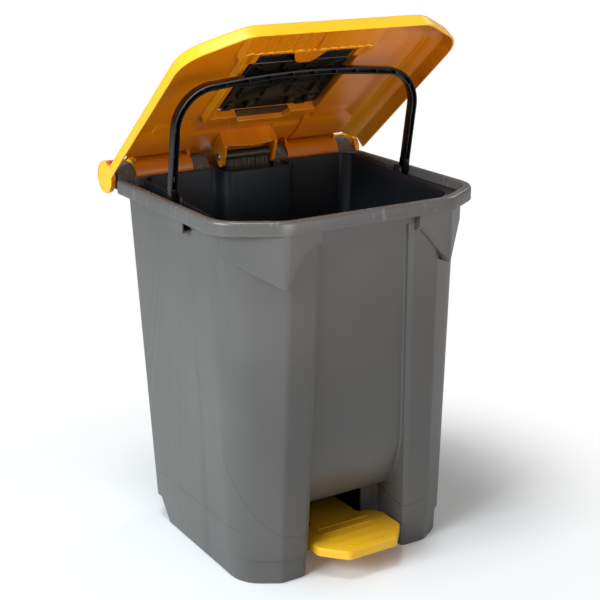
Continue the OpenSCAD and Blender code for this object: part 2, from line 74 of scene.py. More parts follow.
def rounded(corners, steps=6):
    # corners are (x, y, radius); every corner becomes steps + 1 points
    points = []
    count = len(corners)
    for i, (x, y, radius) in enumerate(corners):
        here = Vector((x, y))
        before = Vector(corners[i - 1][:2]) - here
        after = Vector(corners[(i + 1) % count][:2]) - here
        room = 0.48 * min(before.length, after.length)
        a = before.normalized()
        b = after.normalized()
        half = acos(max(-1, min(1, a.dot(b)))) / 2
        if radius == 0 or half > pi / 2 - 0.001 or room < 0.001:
            points += [(x, y)] * (steps + 1)
            continue
        reach = min(radius / tan(half), room)
        centre = here + (a + b).normalized() * (reach / cos(half))
        start = here + a * reach - centre
        end = here + b * reach - centre
        turn = atan2(start.x * end.y - start.y * end.x, start.dot(end))
        for k in range(steps + 1):
            points.append(tuple(centre + Matrix.Rotation(turn * k / steps, 2) @ start))
    return points


def area(points):
    return sum(a[0] * b[1] - b[0] * a[1] for a, b in zip(points, points[1:] + points[:1])) / 2


def inset(points, depth):
    # moves a closed outline inwards, whichever way round it runs
    side = 1 if area(points) > 0 else -1
    moved = []
    count = len(points)
    for i in range(count):
        here = Vector(points[i])
        j = i - 1
        while (here - Vector(points[j])).length < 0.001:
            j -= 1
        k = i + 1
        while (here - Vector(points[k % count])).length < 0.001:
            k += 1
        before = (here - Vector(points[j])).normalized()
        after = (Vector(points[k % count]) - here).normalized()
        a = Vector((-before.y, before.x)) * side
        b = Vector((-after.y, after.x)) * side
        moved.append(tuple(here + (a + b) * (depth / max(0.3, 1 + a.dot(b)))))
    return moved


def mirrored(corners):
    # the right half of an outline, front to rear, and its mirror image
    return corners + [(-x, y, r) for x, y, r in reversed(corners)]


def planOutline(half, front, rear, cut, rearCut, radius, steps=7):
    return rounded(mirrored([
        (half - cut[0], front, radius), (half, front + cut[1], radius),
        (half, rear - rearCut[1], rearCut[0] * 1.5), (half - rearCut[0], rear, rearCut[0] * 1.5)]), steps)


def circle(centre, radius, steps=48, start=0.0, end=2 * pi):
    full = end - start > 6.28
    count = steps if full else steps + 1
    return [(centre[0] + radius * cos(start + (end - start) * k / steps),
             centre[1] + radius * sin(start + (end - start) * k / steps)) for k in range(count)]


def boxOutline(a0, b0, a1, b1, radius=0.0, steps=3):
    return rounded([(a0, b0, radius), (a1, b0, radius), (a1, b1, radius), (a0, b1, radius)], steps)


# ---- solids ----
class Bag:
    # gathers closed solids in millimetres until they become one piece
    def __init__(self):
        self.points = []
        self.faces = []

    def add(self, points, faces):
        solid = bpy.data.meshes.new("solid")
        solid.from_pydata(points, [], faces)
        self.take(cleaned(solid))
        bpy.data.meshes.remove(solid)

    def loft(self, rings, loop=False):
        points = [tuple(p) for ring in rings for p in ring]
        faces = []
        n = len(rings[0])
        m = len(rings)
        for k in range(m if loop else m - 1):
            a = k * n
            b = (k + 1) % m * n
            faces += [(a + i, a + (i + 1) % n, b + (i + 1) % n, b + i) for i in range(n)]
        if not loop:
            faces.append(tuple(range(n - 1, -1, -1)))
            faces.append(tuple(range((m - 1) * n, m * n)))
        self.add(points, faces)

    def plate(self, outline, low, high, axis="z", edge=0.8):
        # an outline drawn along an axis, with both its edges rounded off
        def ring(depth, at):
            flat = inset(outline, depth) if depth else outline
            if axis == "x":
                return [(at, a, b) for a, b in flat]
            if axis == "y":
                return [(a, at, b) for a, b in flat]
            return [(a, b, at) for a, b in flat]
        rise = [(1, 0), (0.3, 0.3), (0, 1)]
        self.loft([ring(edge * d, low + edge * h) for d, h in rise]
                  + [ring(edge * d, high - edge * h) for d, h in reversed(rise)])

    def both(self, build):
        # what build adds on the right is added again on the left
        first = len(self.points)
        firstFace = len(self.faces)
        build()
        shift = len(self.points) - first
        self.points += [(-x, y, z) for x, y, z in self.points[first:]]
        self.faces += [tuple(i + shift for i in reversed(f)) for f in self.faces[firstFace:]]

    def box(self, a0, b0, a1, b1, low, high, axis="z", edge=0.8, corner=0.0):
        # a plate with a rectangular outline
        self.plate(boxOutline(a0, b0, a1, b1, corner), low, high, axis, edge)

    def lathe(self, profile, centre, steps=64, loop=False):
        # profile is (x, radius) about an axis along x, from one side to the other
        self.loft([[(x, y, z) for y, z in circle(centre, r, steps)] for x, r in profile], loop)

    def bar(self, x0, x1, centre, radius, edge=0.4, steps=48):
        self.lathe([(x0, radius - edge), (x0 + edge, radius), (x1 - edge, radius), (x1, radius - edge)],
                   centre, steps)

    def tube(self, x0, x1, centre, outer, inner, steps=40):
        # a bar with a bore
        self.lathe([(x0, inner), (x0, outer - 0.4), (x0 + 0.4, outer), (x1 - 0.4, outer), (x1, outer - 0.4),
                    (x1, inner)], centre, steps, loop=True)

    def turn(self, matrix):
        self.points = [tuple(matrix @ Vector(p)) for p in self.points]
        if matrix.determinant() < 0:
            self.faces = [tuple(reversed(f)) for f in self.faces]

    def take(self, mesh):
        start = len(self.points)
        self.points += [tuple(v.co) for v in mesh.vertices]
        self.faces += [tuple(start + i for i in f.vertices) for f in mesh.polygons]

    def join(self, other):
        start = len(self.points)
        self.points += other.points
        self.faces += [tuple(start + i for i in f) for f in other.faces]

    def mesh(self, name):
        made = bpy.data.meshes.new(name)
        made.from_pydata(self.points, [], self.faces)
        return made


def cleaned(mesh, merge=0.0005):
    work = bmesh.new()
    work.from_mesh(mesh)
    bmesh.ops.remove_doubles(work, verts=work.verts, dist=merge)
    bmesh.ops.dissolve_degenerate(work, edges=work.edges, dist=merge)
    bmesh.ops.recalc_face_normals(work, faces=work.faces)
    if work.calc_volume(signed=True) < 0:
        bmesh.ops.reverse_faces(work, faces=work.faces)
    work.to_mesh(mesh)
    work.free()
    return mesh


def linked(name, mesh):
    made = bpy.data.objects.new(name, mesh)
    bpy.context.scene.collection.objects.link(made)
    return made


def evaluated(obj):
    graph = bpy.context.evaluated_depsgraph_get()
    return bpy.data.meshes.new_from_object(obj.evaluated_get(graph))


def carved(bag, cutter, operation="DIFFERENCE"):
    # one bag of solids cut by another
    block = linked("block", bag.mesh("block"))
    tool = linked("tool", cutter.mesh("tool"))
    cut = block.modifiers.new("cut", "BOOLEAN")
    cut.operation = operation
    cut.solver = "EXACT"
    cut.object = tool
    result = Bag()
    result.take(evaluated(block))
    bpy.data.objects.remove(block)
    bpy.data.objects.remove(tool)
    return result


def rounding(bag, width, segments=2, angle=40):
    # the edges of a bag of solids rounded by a bevel
    block = linked("block", bag.mesh("block"))
    soft = block.modifiers.new("soft", "BEVEL")
    soft.width = width
    soft.segments = segments
    soft.limit_method = "ANGLE"
    soft.angle_limit = radians(angle)
    soft.use_clamp_overlap = True
    result = Bag()
    result.take(evaluated(block))
    bpy.data.objects.remove(block)
    return result


def piece(name, bag, material, body, replaces=(), opened=False, sharp=flatSharp):
    mesh = bag.mesh(name)
    under = mesh.attributes.new("under", "FLOAT", "FACE")
    middle = Vector((0, 190, 440))  # a point inside the bin, towards which the inner faces look
    for face, item in zip(mesh.polygons, under.data):
        item.value = 1.0 if face.normal.dot(middle - face.center) > 0 else 0.0
    if opened:
        there = Matrix.Translation((0, hingeY, hingeZ))
        mesh.transform(there @ Matrix.Rotation(-radians(lidSizes["open"]), 4, "X") @ there.inverted())
    mesh.transform(Matrix.Translation((0, rimFront, 0)) @ Matrix.Scale(milli, 4))
    mesh.shade_smooth()
    mesh.set_sharp_from_angle(angle=radians(sharp))
    mesh.materials.clear()
    mesh.materials.append(material)
    made = linked(name, mesh)
    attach(made, body)
    if replaces:
        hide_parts(*replaces)
    return made


# ---- repeats by Geometry Nodes ----
def nodeTree(name, inputs):
    tree = bpy.data.node_groups.new(name, "GeometryNodeTree")
    tree.interface.new_socket("Geometry", in_out="INPUT", socket_type="NodeSocketGeometry")
    tree.interface.new_socket("Geometry", in_out="OUTPUT", socket_type="NodeSocketGeometry")
    for label, kind in inputs:
        tree.interface.new_socket(label, in_out="INPUT", socket_type="NodeSocket" + kind)
    return tree, tree.nodes.new("NodeGroupInput"), tree.nodes.new("NodeGroupOutput")


def wire(tree, *links):
    # each link is a node and its output, then a node and its input
    for source, output, target, socket in links:
        tree.links.new(source.outputs[output], target.inputs[socket])


def ending(tree, copies, entry, exit):
    # every tree ends in real geometry with its material
    realize = tree.nodes.new("GeometryNodeRealizeInstances")
    dress = tree.nodes.new("GeometryNodeSetMaterial")
    wire(tree, (copies, 0, realize, 0), (realize, 0, dress, "Geometry"),
         (entry, "Material", dress, "Material"), (dress, 0, exit, "Geometry"))


def ribRowTree():
    tree, entry, exit = nodeTree("rib row", [("Count", "Int"), ("Start", "Vector"), ("Step", "Vector"),
                                             ("Size", "Vector"), ("Material", "Material")])
    line = tree.nodes.new("GeometryNodeMeshLine")
    cube = tree.nodes.new("GeometryNodeMeshCube")
    copies = tree.nodes.new("GeometryNodeInstanceOnPoints")
    wire(tree, (entry, "Count", line, "Count"), (entry, "Start", line, "Start Location"),
         (entry, "Step", line, "Offset"), (entry, "Size", cube, "Size"), (line, 0, copies, "Points"),
         (cube, "Mesh", copies, "Instance"))
    ending(tree, copies, entry, exit)
    return tree


def ribPathTree():
    tree, entry, exit = nodeTree("rib path", [("Spacing", "Float"), ("Size", "Vector"),
                                              ("Material", "Material")])
    curve = tree.nodes.new("GeometryNodeMeshToCurve")
    spread = tree.nodes.new("GeometryNodeResampleCurve")
    tangent = tree.nodes.new("GeometryNodeInputTangent")
    align = tree.nodes.new("FunctionNodeAlignRotationToVector")
    cube = tree.nodes.new("GeometryNodeMeshCube")
    copies = tree.nodes.new("GeometryNodeInstanceOnPoints")
    spread.mode = "LENGTH"
    align.axis = "X"
    align.pivot_axis = "Z"
    wire(tree, (entry, "Geometry", curve, 0), (curve, 0, spread, "Curve"),
         (entry, "Spacing", spread, "Length"), (tangent, 0, align, "Vector"), (entry, "Size", cube, "Size"),
         (spread, 0, copies, "Points"), (cube, "Mesh", copies, "Instance"), (align, 0, copies, "Rotation"))
    ending(tree, copies, entry, exit)
    return tree


def grown(tree, values, base=None):
    # runs a tree on a base mesh and returns the plain mesh in millimetres
    host = linked("host", base or bpy.data.meshes.new("host"))
    modifier = host.modifiers.new("grow", "NODES")
    modifier.node_group = tree
    for item in tree.interface.items_tree:
        if item.in_out == "INPUT" and item.name in values:
            modifier[item.identifier] = values[item.name]
    host.update_tag()
    mesh = evaluated(host)
    bpy.data.objects.remove(host)
    return mesh


def ribRow(bag, count, start, step, size, material):
    bag.take(grown(ribRows, {"Count": count, "Start": start, "Step": step, "Size": size,
                             "Material": material}))


# ---- materials ----
class Value:
    # a socket that adds Math nodes when it is used in an expression
    def __init__(self, surface, socket):
        self.surface = surface
        self.socket = socket

    def maths(self, operation, *values):
        return self.surface.node("ShaderNodeMath", {"operation": operation}, list(values))

    def __add__(self, other):
        return self.maths("ADD", self, other)

    def __radd__(self, other):
        return self.maths("ADD", other, self)

    def __sub__(self, other):
        return self.maths("SUBTRACT", self, other)

    def __rsub__(self, other):
        return self.maths("SUBTRACT", other, self)

    def __mul__(self, other):
        return self.maths("MULTIPLY", self, other)

    def __rmul__(self, other):
        return self.maths("MULTIPLY", other, self)

    def __truediv__(self, other):
        return self.maths("DIVIDE", self, other)

    def __pow__(self, other):
        return self.maths("POWER", self, other)

    def size(self):
        return self.maths("ABSOLUTE", self)

    def step(self, low, high):
        # 0 below low and 1 above high, smooth between
        return self.surface.node("ShaderNodeMapRange", {"interpolation_type": "SMOOTHSTEP"},
                                 {"Value": self, "From Min": low, "From Max": high})

    def band(self, width):
        # 1 where the value is near 0, down to 0 a width away
        return 1 - self.size().step(0.0, width)


class Surface:
    def __init__(self, name):
        self.material = bpy.data.materials.new(name)
        self.material.use_nodes = True
        self.tree = self.material.node_tree
        self.shader = self.tree.nodes["Principled BSDF"]
        self.place = self.node("ShaderNodeTexCoord", {}, {}, "Object")
        parts = self.tree.nodes.new("ShaderNodeSeparateXYZ")
        self.feed(parts.inputs[0], self.place)
        self.x, self.y, self.z = [Value(self, socket) * 1000 for socket in parts.outputs]
        self.y = self.y - rimFront / milli

    def feed(self, socket, value):
        if isinstance(value, Value):
            self.tree.links.new(value.socket, socket)
        else:
            socket.default_value = value

    def node(self, kind, settings=None, inputs=None, output=0):
        made = self.tree.nodes.new(kind)
        for key, value in (settings or {}).items():
            if key == "stops":
                for stop, (at, colour) in zip(made.color_ramp.elements, value):
                    stop.position = at
                    stop.color = colour
            else:
                setattr(made, key, value)
        pairs = enumerate(inputs) if isinstance(inputs, list) else (inputs or {}).items()
        for key, value in pairs:
            self.feed(made.inputs[key], value)
        return Value(self, made.outputs[output])

    def noise(self, scale, detail=2.0, rough=0.5, stretch=(1, 1, 1)):
        moved = self.node("ShaderNodeMapping", {}, {"Vector": self.place, "Scale": stretch})
        return self.node("ShaderNodeTexNoise", {}, {
            "Vector": moved, "Scale": scale, "Detail": detail, "Roughness": rough})

    def specks(self, scale, size):
        # 1 on small round spots, 0 elsewhere
        cells = self.node("ShaderNodeTexVoronoi", {}, {"Vector": self.place, "Scale": scale}, "Distance")
        return 1 - cells.step(size * 0.6, size)

    def blend(self, factor, first, second):
        mixed = self.tree.nodes.new("ShaderNodeMix")
        mixed.data_type = "RGBA"
        self.feed(mixed.inputs[0], factor)
        self.feed(mixed.inputs[6], first)
        self.feed(mixed.inputs[7], second)
        return Value(self, mixed.outputs[2])

    def facing(self):
        # 1 on faces that piece() marked as looking towards the inside
        return self.node("ShaderNodeAttribute", {"attribute_name": "under"}, {}, "Fac")

    def bump(self, height, strength, distance, below=None):
        inputs = {"Height": height, "Strength": strength, "Distance": distance}
        if below:
            inputs["Normal"] = below
        return self.node("ShaderNodeBump", {}, inputs)

    def wear(self, **sockets):
        for label, value in sockets.items():
            self.feed(self.shader.inputs[label.replace("_", " ")], value)
        return self.material


# the "inside" colour is painted shade for the body's faces that look into the bin
bodyLook = {
    "colour": (0.094, 0.087, 0.082, 1), "paler": (0.115, 0.107, 0.101, 1), "darker": (0.072, 0.067, 0.063, 1),
    "rubbed": (0.21, 0.21, 0.205, 1), "inside": (0.006, 0.006, 0.006, 1), "roughness": 0.4, "scuffs": 0.1}


def bodyPlastic():
    look = Surface("grey moulded plastic")
    cloud = look.noise(5.0, 3.0)
    colour = look.blend(cloud.step(0.35, 0.7), bodyLook["colour"], bodyLook["paler"])
    # flow marks fan down the side walls from the gate
    fan = (look.y - 150) / (700 - look.z) * 620
    streaks = look.node("ShaderNodeTexNoise", {"noise_dimensions": "1D"},
                        {"W": fan, "Scale": 0.07, "Detail": 3.0})
    onSide = look.x.size().step(150, 185) * look.y.step(40, 90)
    colour = look.blend(streaks.step(0.56, 0.66) * onSide * 0.35, colour, bodyLook["paler"])
    colour = look.blend((1 - streaks.step(0.34, 0.44)) * onSide * 0.3, colour, bodyLook["darker"])
    # rubbed rim
    onRim = look.z.step(508, 514)
    rubs = look.noise(90.0, 4.0, 0.6, (1, 1, 0.25)).step(0.56, 0.7)
    colour = look.blend(rubs * onRim * 0.4, colour, bodyLook["rubbed"])
    # painted shade: faces that look into the bin, between the front and rear walls and below the rim, are
    # painted near black for the shade inside the bin
    paintedInside = look.facing() * look.y.step(97, 101) * (1 - look.y.step(336, 339)) * (1 - look.z.step(490, 500))
    colour = look.blend(paintedInside, colour, bodyLook["inside"])
    grain = look.noise(2400.0, 1.0)
    # the sweeping crease on the corner posts and the level line behind it
    across = look.x.size() + look.y
    sweep = look.z - 67 - ((across - 109) / 204) ** 2 * 188
    front = 1 - across.step(318, 345)
    level = look.z - 81
    rear = across.step(225, 262)
    crease = sweep.step(-1.2, 1.2) * front + (1 - front)
    ledge = level.step(-1.0, 1.0) * rear + (1 - rear)
    ripples = look.noise(30.0, 2.0) * 0.12
    waves = streaks * onSide * 0.35
    nicks = look.x.maths("PINGPONG", look.x * 0.5 + look.y * 0.5, 21.0)
    marks = nicks.band(0.5) * onRim
    normal = look.bump(crease + ledge + ripples * 0.5 + waves * 0.5, 1.0, 0.0013)
    normal = look.bump(marks * -1, 0.5, 0.0004, normal)
    normal = look.bump(grain, 0.12, 0.0002, normal)
    rough = bodyLook["roughness"] + (cloud - 0.5) * 0.16 + rubs * onRim * bodyLook["scuffs"]
    rough = rough - onRim * 0.14
    return look.wear(Base_Color=colour, Roughness=rough, Normal=normal, Specular_IOR_Level=0.5)


linerLook = {"colour": (0.0045, 0.0055, 0.0078, 1), "paler": (0.008, 0.0098, 0.0135, 1),
             "fleck": (0.09, 0.1, 0.12, 1), "roughness": 0.42}


def linerPlastic():
    look = Surface("black liner plastic")
    cloud = look.noise(7.0, 3.0)
    colour = look.blend(cloud.step(0.4, 0.75), linerLook["colour"], linerLook["paler"])
    dust = look.specks(300.0, 0.16) * look.noise(40.0, 2.0).step(0.52, 0.62)
    bright = look.specks(55.0, 0.055)
    colour = look.blend(dust * 0.5 + bright * 0.5, colour, linerLook["fleck"])
    grain = look.noise(1500.0, 2.0)
    normal = look.bump(grain, 0.25, 0.0003)
    normal = look.bump(look.noise(14.0, 2.0), 0.2, 0.002, normal)
    rough = linerLook["roughness"] + (cloud - 0.5) * 0.2
    return look.wear(Base_Color=colour, Roughness=rough, Normal=normal)


# the "under" and "underDeeper" colours are painted shade, a deeper orange for the shaded underside of the lid
yellowLook = {
    "colour": (0.93, 0.5, 0.016, 1), "deeper": (0.9, 0.45, 0.011, 1), "paler": (0.95, 0.55, 0.03, 1),
    "under": (0.66, 0.19, 0.002, 1), "underDeeper": (0.6, 0.155, 0.001, 1), "dirt": (0.35, 0.18, 0.03, 1),
    "roughness": 0.33}


def yellowPlastic(name, rubbed, shaded):
    look = Surface(name)
    cloud = look.noise(6.0, 3.0)
    colour = look.blend(cloud.step(0.3, 0.7), yellowLook["colour"], yellowLook["deeper"])
    # painted shade: where shaded is set, faces that look into the bin take a deeper orange that stands in for
    # the shade under the lid
    shadedUnderside = look.blend(cloud.step(0.35, 0.65), yellowLook["under"], yellowLook["underDeeper"])
    colour = look.blend(look.facing() * shaded, colour, shadedUnderside)
    streaks = look.noise(9.0, 3.0, 0.5, (1, 0.15, 0.15)).step(0.52, 0.68)
    colour = look.blend(streaks * 0.35, colour, yellowLook["paler"])
    specks = look.specks(38.0, 0.045) * look.noise(20.0, 1.0).step(0.5, 0.6)
    colour = look.blend(specks * 0.55, colour, yellowLook["dirt"])
    scratch = look.noise(70.0, 5.0, 0.65, (1, 0.12, 1)).step(0.6, 0.72)
    colour = look.blend(scratch * rubbed * 0.5, colour, yellowLook["dirt"])
    normal = look.bump(look.noise(12.0, 2.0), 0.15, 0.002)
    normal = look.bump(look.noise(2200.0, 1.0), 0.1, 0.0002, normal)
    rough = yellowLook["roughness"] + (cloud - 0.5) * 0.16 + scratch * rubbed * 0.25
    return look.wear(Base_Color=colour, Roughness=rough, Normal=normal)


# the "glow" colour is painted reflection, brownish yellow light from the lid put on the hatch plastic's
# inward faces
blackLook = {
    "bail": (0.004, 0.004, 0.0045, 1), "hatch": (0.008, 0.0075, 0.0072, 1), "lever": (0.02, 0.02, 0.021, 1),
    "glow": (0.05, 0.028, 0.008, 1), "dust": (0.12, 0.11, 0.1, 1)}


def blackPlastic(name, roughness, tone, paintedInside=None):
    look = Surface(name)
    cloud = look.noise(18.0, 3.0)
    colour = look.blend(cloud.step(0.4, 0.7), tone, tuple(c * 1.7 for c in tone[:3]) + (1,))
    # painted reflection: inward faces take a brownish yellow that stands in for light reflected from the
    # yellow lid
    if paintedInside:
        colour = look.blend(look.facing() * cloud, colour, paintedInside)
    dust = look.noise(260.0, 3.0, 0.6).step(0.62, 0.75)
    colour = look.blend(dust * 0.25, colour, blackLook["dust"])
    normal = look.bump(look.noise(45.0, 2.0), 0.15, 0.001)
    normal = look.bump(look.noise(1800.0, 1.0), 0.12, 0.0002, normal)
    rough = roughness + (cloud - 0.5) * 0.2 + dust * 0.15
    return look.wear(Base_Color=colour, Roughness=rough, Normal=normal)


steelLook = {"colour": (0.56, 0.57, 0.6, 1), "warmer": (0.68, 0.67, 0.62, 1), "roughness": 0.26}


def pinSteel():
    look = Surface("zinc plated steel")
    brush = look.noise(220.0, 3.0, 0.6, (0.08, 1, 1))
    patch = look.noise(60.0, 3.0)
    colour = look.blend(patch.step(0.4, 0.7), steelLook["colour"], steelLook["warmer"])
    normal = look.bump(brush, 0.3, 0.0003)
    rough = steelLook["roughness"] + brush * 0.14
    return look.wear(Base_Color=colour, Roughness=rough, Metallic=1.0, Normal=normal)


greyBody = bodyPlastic()
blackLiner = linerPlastic()
yellowLid = yellowPlastic("yellow moulded plastic", 0.15, 1.0)
yellowPedal = yellowPlastic("yellow pedal plastic", 0.6, 0.0)
blackBail = blackPlastic("gloss black plastic", 0.22, blackLook["bail"])
blackHatch = blackPlastic("satin black plastic", 0.34, blackLook["hatch"], blackLook["glow"])
blackLever = blackPlastic("black lever plastic", 0.45, blackLook["lever"])
steel = pinSteel()
print("materials made")

ribRows = ribRowTree()
ribPaths = ribPathTree()

# ---- outer body ----
wallSizes = {
    "baseHalf": 176, "topHalf": 196.5, "baseFront": 28, "topFront": 12, "baseRear": 335, "topRear": 346,
    "skin": 3, "stepZ": 37, "stepIn": 3, "headerZ": 496, "channelTop": 68.5, "channelBase": 82,
    "channelDepth": 9.5, "lipZ": 83, "lipY": 93, "sweepZ": 200, "mouthHalf": 51, "mouthLow": 13,
    "mouthHigh": 80, "bevel": 8, "cutX": (50, 79), "cutY": (31, 49), "rearX": (16, 10), "rearY": (26, 10)}


def panelY(z):
    s = wallSizes
    flat = mix(s["baseFront"], s["topFront"], z / rimTop) + s["channelDepth"]
    if z >= s["sweepZ"]:
        return flat
    if z <= s["lipZ"]:
        return s["lipY"]
    drop = (s["sweepZ"] - z) / (s["sweepZ"] - s["lipZ"])
    top = mix(s["baseFront"], s["topFront"], s["sweepZ"] / rimTop) + s["channelDepth"]
    return mix(top, s["lipY"], 1 - (1 - drop * drop) ** 0.5)


def wallOutline(z, depth=0.0):
    s = wallSizes
    k = z / rimTop
    skirt = s["stepIn"] * (1 - smooth(s["stepZ"] - 0.8, s["stepZ"] + 0.8, z))
    t = depth + skirt
    half = mix(s["baseHalf"], s["topHalf"], k) - t
    front = mix(s["baseFront"], s["topFront"], k) + t
    rear = mix(s["baseRear"], s["topRear"], k) - t
    cut = (mix(*s["cutX"], k) - 0.4 * t, mix(*s["cutY"], k) - 0.4 * t)
    fall = max(0, 1 - z / s["stepZ"])
    rearCut = (mix(*s["rearX"], k) + 10 * fall, mix(*s["rearY"], k) + 26 * fall)
    closing = smooth(s["headerZ"], s["headerZ"] + 1.6, z)
    channel = mix(s["channelBase"], s["channelTop"], k) + depth
    back = mix(panelY(z) + depth, front, closing)
    bevelBack = mix(front + 3, front, closing)
    corners = [
        (channel, back, 3.5), (channel + 0.8, bevelBack, 1.2), (channel + s["bevel"], front, 5),
        (half - cut[0], front, 18), (half, front + cut[1], 90), (half, rear - rearCut[1], 14),
        (half - rearCut[0], rear, 14)]
    mouth = s["mouthHalf"] + 0.0022 * (z - 62) ** 2 if z < s["lipZ"] else s["mouthHalf"] + 0.9
    right = rounded([(0, back, 0)] + corners + [(0, rear, 0)], 6)
    right = right[7:-7]
    left = [(-x, y) for x, y in reversed(right)]
    return [(0, back), (mouth, back)] + right + left + [(-mouth, back)]


def wallHeights():
    s = wallSizes
    low = [0, 1.2, s["mouthLow"], 24, 35.5, 36.3, 37, 37.7, 38.5, 55, s["mouthHigh"], s["lipZ"]]
    bend = [s["sweepZ"] - (s["sweepZ"] - s["lipZ"]) * sin(radians(90 - a)) for a in range(3, 88, 6)]
    high = [200, 230, 280, 330, 380, 420, 455, 480, s["headerZ"], s["headerZ"] + 0.8,
            s["headerZ"] + 1.6, 504, 511]
    return low + bend + high


def bodyWall():
    s = wallSizes
    heights = wallHeights()
    bag = Bag()
    outer = [[(x, y, z) for x, y in wallOutline(z, 1.0 if z == 0 else 0.0)] for z in heights]
    inner = [[(x, y, z) for x, y in wallOutline(z, s["skin"])] for z in heights]
    n = len(outer[0])
    m = len(heights)
    points = [p for ring in outer + inner for p in ring]
    faces = []
    hole = [k for k in range(m - 1) if s["mouthLow"] <= heights[k] and heights[k + 1] <= s["mouthHigh"]]
    for k in range(m - 1):
        for i in range(n):
            j = (i + 1) % n
            if k in hole and i in (0, n - 1):
                continue
            a = k * n
            b = (m + k) * n
            faces.append((a + i, a + j, a + n + j, a + n + i))
            faces.append((b + j, b + i, b + n + i, b + n + j))
    for i in range(n):
        j = (i + 1) % n
        faces.append((j, i, m * n + i, m * n + j))
        top = (m - 1) * n
        faces.append((top + i, top + j, m * n + top + j, m * n + top + i))
    # the mouth's own edges
    for k in hole:
        for i in (1, n - 1):
            a = k * n + i
            faces.append((a, a + n, m * n + a + n, m * n + a))
    for k in (hole[0], hole[-1] + 1):
        for i, j in ((0, 1), (n - 1, 0)):
            a = k * n
            faces.append((a + i, a + j, m * n + a + j, m * n + a + i))
    bag.add(points, faces)
    return bag


def rimOutline(depth):
    return planOutline(rimHalf - depth, depth, 347 - 0.55 * depth, (79 - 0.4 * depth, 49 - 0.4 * depth),
                       (8, 8), 56 - depth, 9)


rimProfile = [
    (3.0, -18.4), (2.3, -19), (0.7, -19), (0.0, -18.2), (0.1, -5), (0.35, -3), (1.0, -1.4), (2.0, -0.4),
    (3.4, 0), (9.2, 0), (10.6, -0.4), (11.3, -1.3), (11.6, -3), (11.8, -14.6), (12.3, -15), (18.6, -15),
    (18.6, -18), (9, -18), (9, -4), (3.2, -4)]


def bodyRim():
    bag = Bag()
    bag.loft([[(x, y, rimTop + z) for x, y in rimOutline(depth)] for depth, z in rimProfile], loop=True)
    mouth = Bag()
    mouth.box(330, rimTop - 30, 352, rimTop + 10, -50, 50, "x", 0.01)
    return carved(bag, mouth)


gussetSizes = {"inner": 78, "corner": (132, 1.5), "rear": (194.7, 62), "tip": 436, "innerZ": 487,
               "rearZ": 476, "thick": 22, "slant": 7}


def gussets():
    # tongue that drops from the rim round each front corner, cut to a V below
    s = gussetSizes
    bag = Bag()

    def build():
        line = rounded([(s["inner"], 1.5, 0), (s["corner"][0], s["corner"][1], 16), (*s["rear"], 0)], 8)
        line = [line[0]] + [tuple(mix(Vector(line[0]), Vector(line[9]), t / 6)) for t in range(1, 6)] \
            + line[9:18] + [tuple(mix(Vector(line[17]), Vector(line[-1]), t / 8)) for t in range(1, 9)]
        front, back = [], []
        for x, y in line:
            if x < s["corner"][0] - 3:
                low = mix(s["innerZ"], s["tip"], smooth(0, 1, (x - s["inner"] - 6) / 62) * 0.25
                          + 0.75 * max(0, min(1, (x - s["inner"] - 8) / 46)))
            else:
                along = hypot(x - s["corner"][0], max(0, y - s["corner"][1])) / 86.5
                low = mix(s["tip"], s["rearZ"], max(0, min(1, along)))
            front.append((x, y, low))
            inward = s["thick"] * min(1, 0.25 + (s["rear"][0] - x) / 30)
            back.append((x - (8 if y > 3 else 0), y + inward, low))
        top = rimTop - 17.6
        rings = []
        for f, b in zip(front, back):
            slant = s["slant"] * (1 - smooth(s["corner"][0] - 16, s["corner"][0] - 2, f[0])) + 1
            steps = [f[2], f[2] + slant] + [mix(f[2] + slant, top, t) for t in (0.3, 0.6, 1)]
            rings.append([(f[0], f[1] + (slant if k == 0 else 0), z) for k, z in enumerate(steps)]
                         + [(b[0], b[1], z) for z in reversed(steps)])
        bag.loft(rings)
    bag.both(build)
    return bag


gripSizes = {"front": 139, "rear": 288, "drop": 35, "slope": 42, "out": 2.2}


def grips():
    s = gripSizes
    bag = Bag()
    top = rimTop - 17
    low = rimTop - s["drop"]
    outline = rounded([(s["front"], top, 0), (s["front"], low, 2), (s["rear"] - s["slope"], low, 8),
                       (s["rear"], top, 3)], 3)

    def build():
        bag.plate(outline, rimHalf - s["out"] - 2.6, rimHalf - s["out"], "x", 0.7)
        bag.box(s["front"] + 3, low + 0.4, s["rear"] - s["slope"] - 4, low + 3, rimHalf - 19,
                rimHalf - s["out"] - 1, "x", 0.4, 0.5)
        bag.box(s["rear"] - s["slope"] - 8, low + 0.4, s["rear"] - s["slope"] - 5, top + 2, rimHalf - 19,
                rimHalf - s["out"] - 1, "x", 0.4, 0.5)
    bag.both(build)
    return bag


lugSizes = {"innerFoot": 77, "outerFoot": 18, "radius": 19, "inner": (54, 82), "outer": (176, 204),
            "pin": 4, "root": 343.5}


def lugs():
    s = lugSizes
    bag = Bag()

    def build():
        for name in ("inner", "outer"):
            eye = circle((hingeY, hingeZ), s["radius"], 30, 0.55 - 0.62 * pi, 0.5 + 0.62 * pi)
            eye = [p for p in eye if p[0] > hingeY - 6.5 or p[1] > hingeZ]
            bag.plate([(s["root"], hingeZ - s[name + "Foot"]), (hingeY + 8, hingeZ - 17)] + eye
                      + [(s["root"], hingeZ - 3)], *s[name], "x", 1.6)
    bag.both(build)
    pins = Bag()
    pins.both(lambda: pins.bar(s["inner"][0] - 1, s["outer"][1] + 1, (hingeY, hingeZ),
                               s["pin"] + boreRoom, 0.01))
    return carved(bag, pins)


ductSizes = {"half": 53, "foot": 290, "back": 362, "cap": 528}


def duct():
    s = ductSizes
    bag = Bag()
    bag.plate([(339, s["foot"] - 6), (341.5, s["foot"] - 6), (s["back"], s["foot"] + 50),
               (s["back"], s["cap"]), (339, s["cap"])], -s["half"], s["half"], "x", 1.2)
    hollow = Bag()
    hollow.plate([(330, s["foot"] - 2), (339.5, s["foot"] - 2), (s["back"] - 3, s["foot"] + 52),
                  (s["back"] - 3, s["cap"] + 20), (330, s["cap"] + 20)],
                 3 - s["half"], s["half"] - 3, "x", 0.5)
    return carved(bag, hollow)


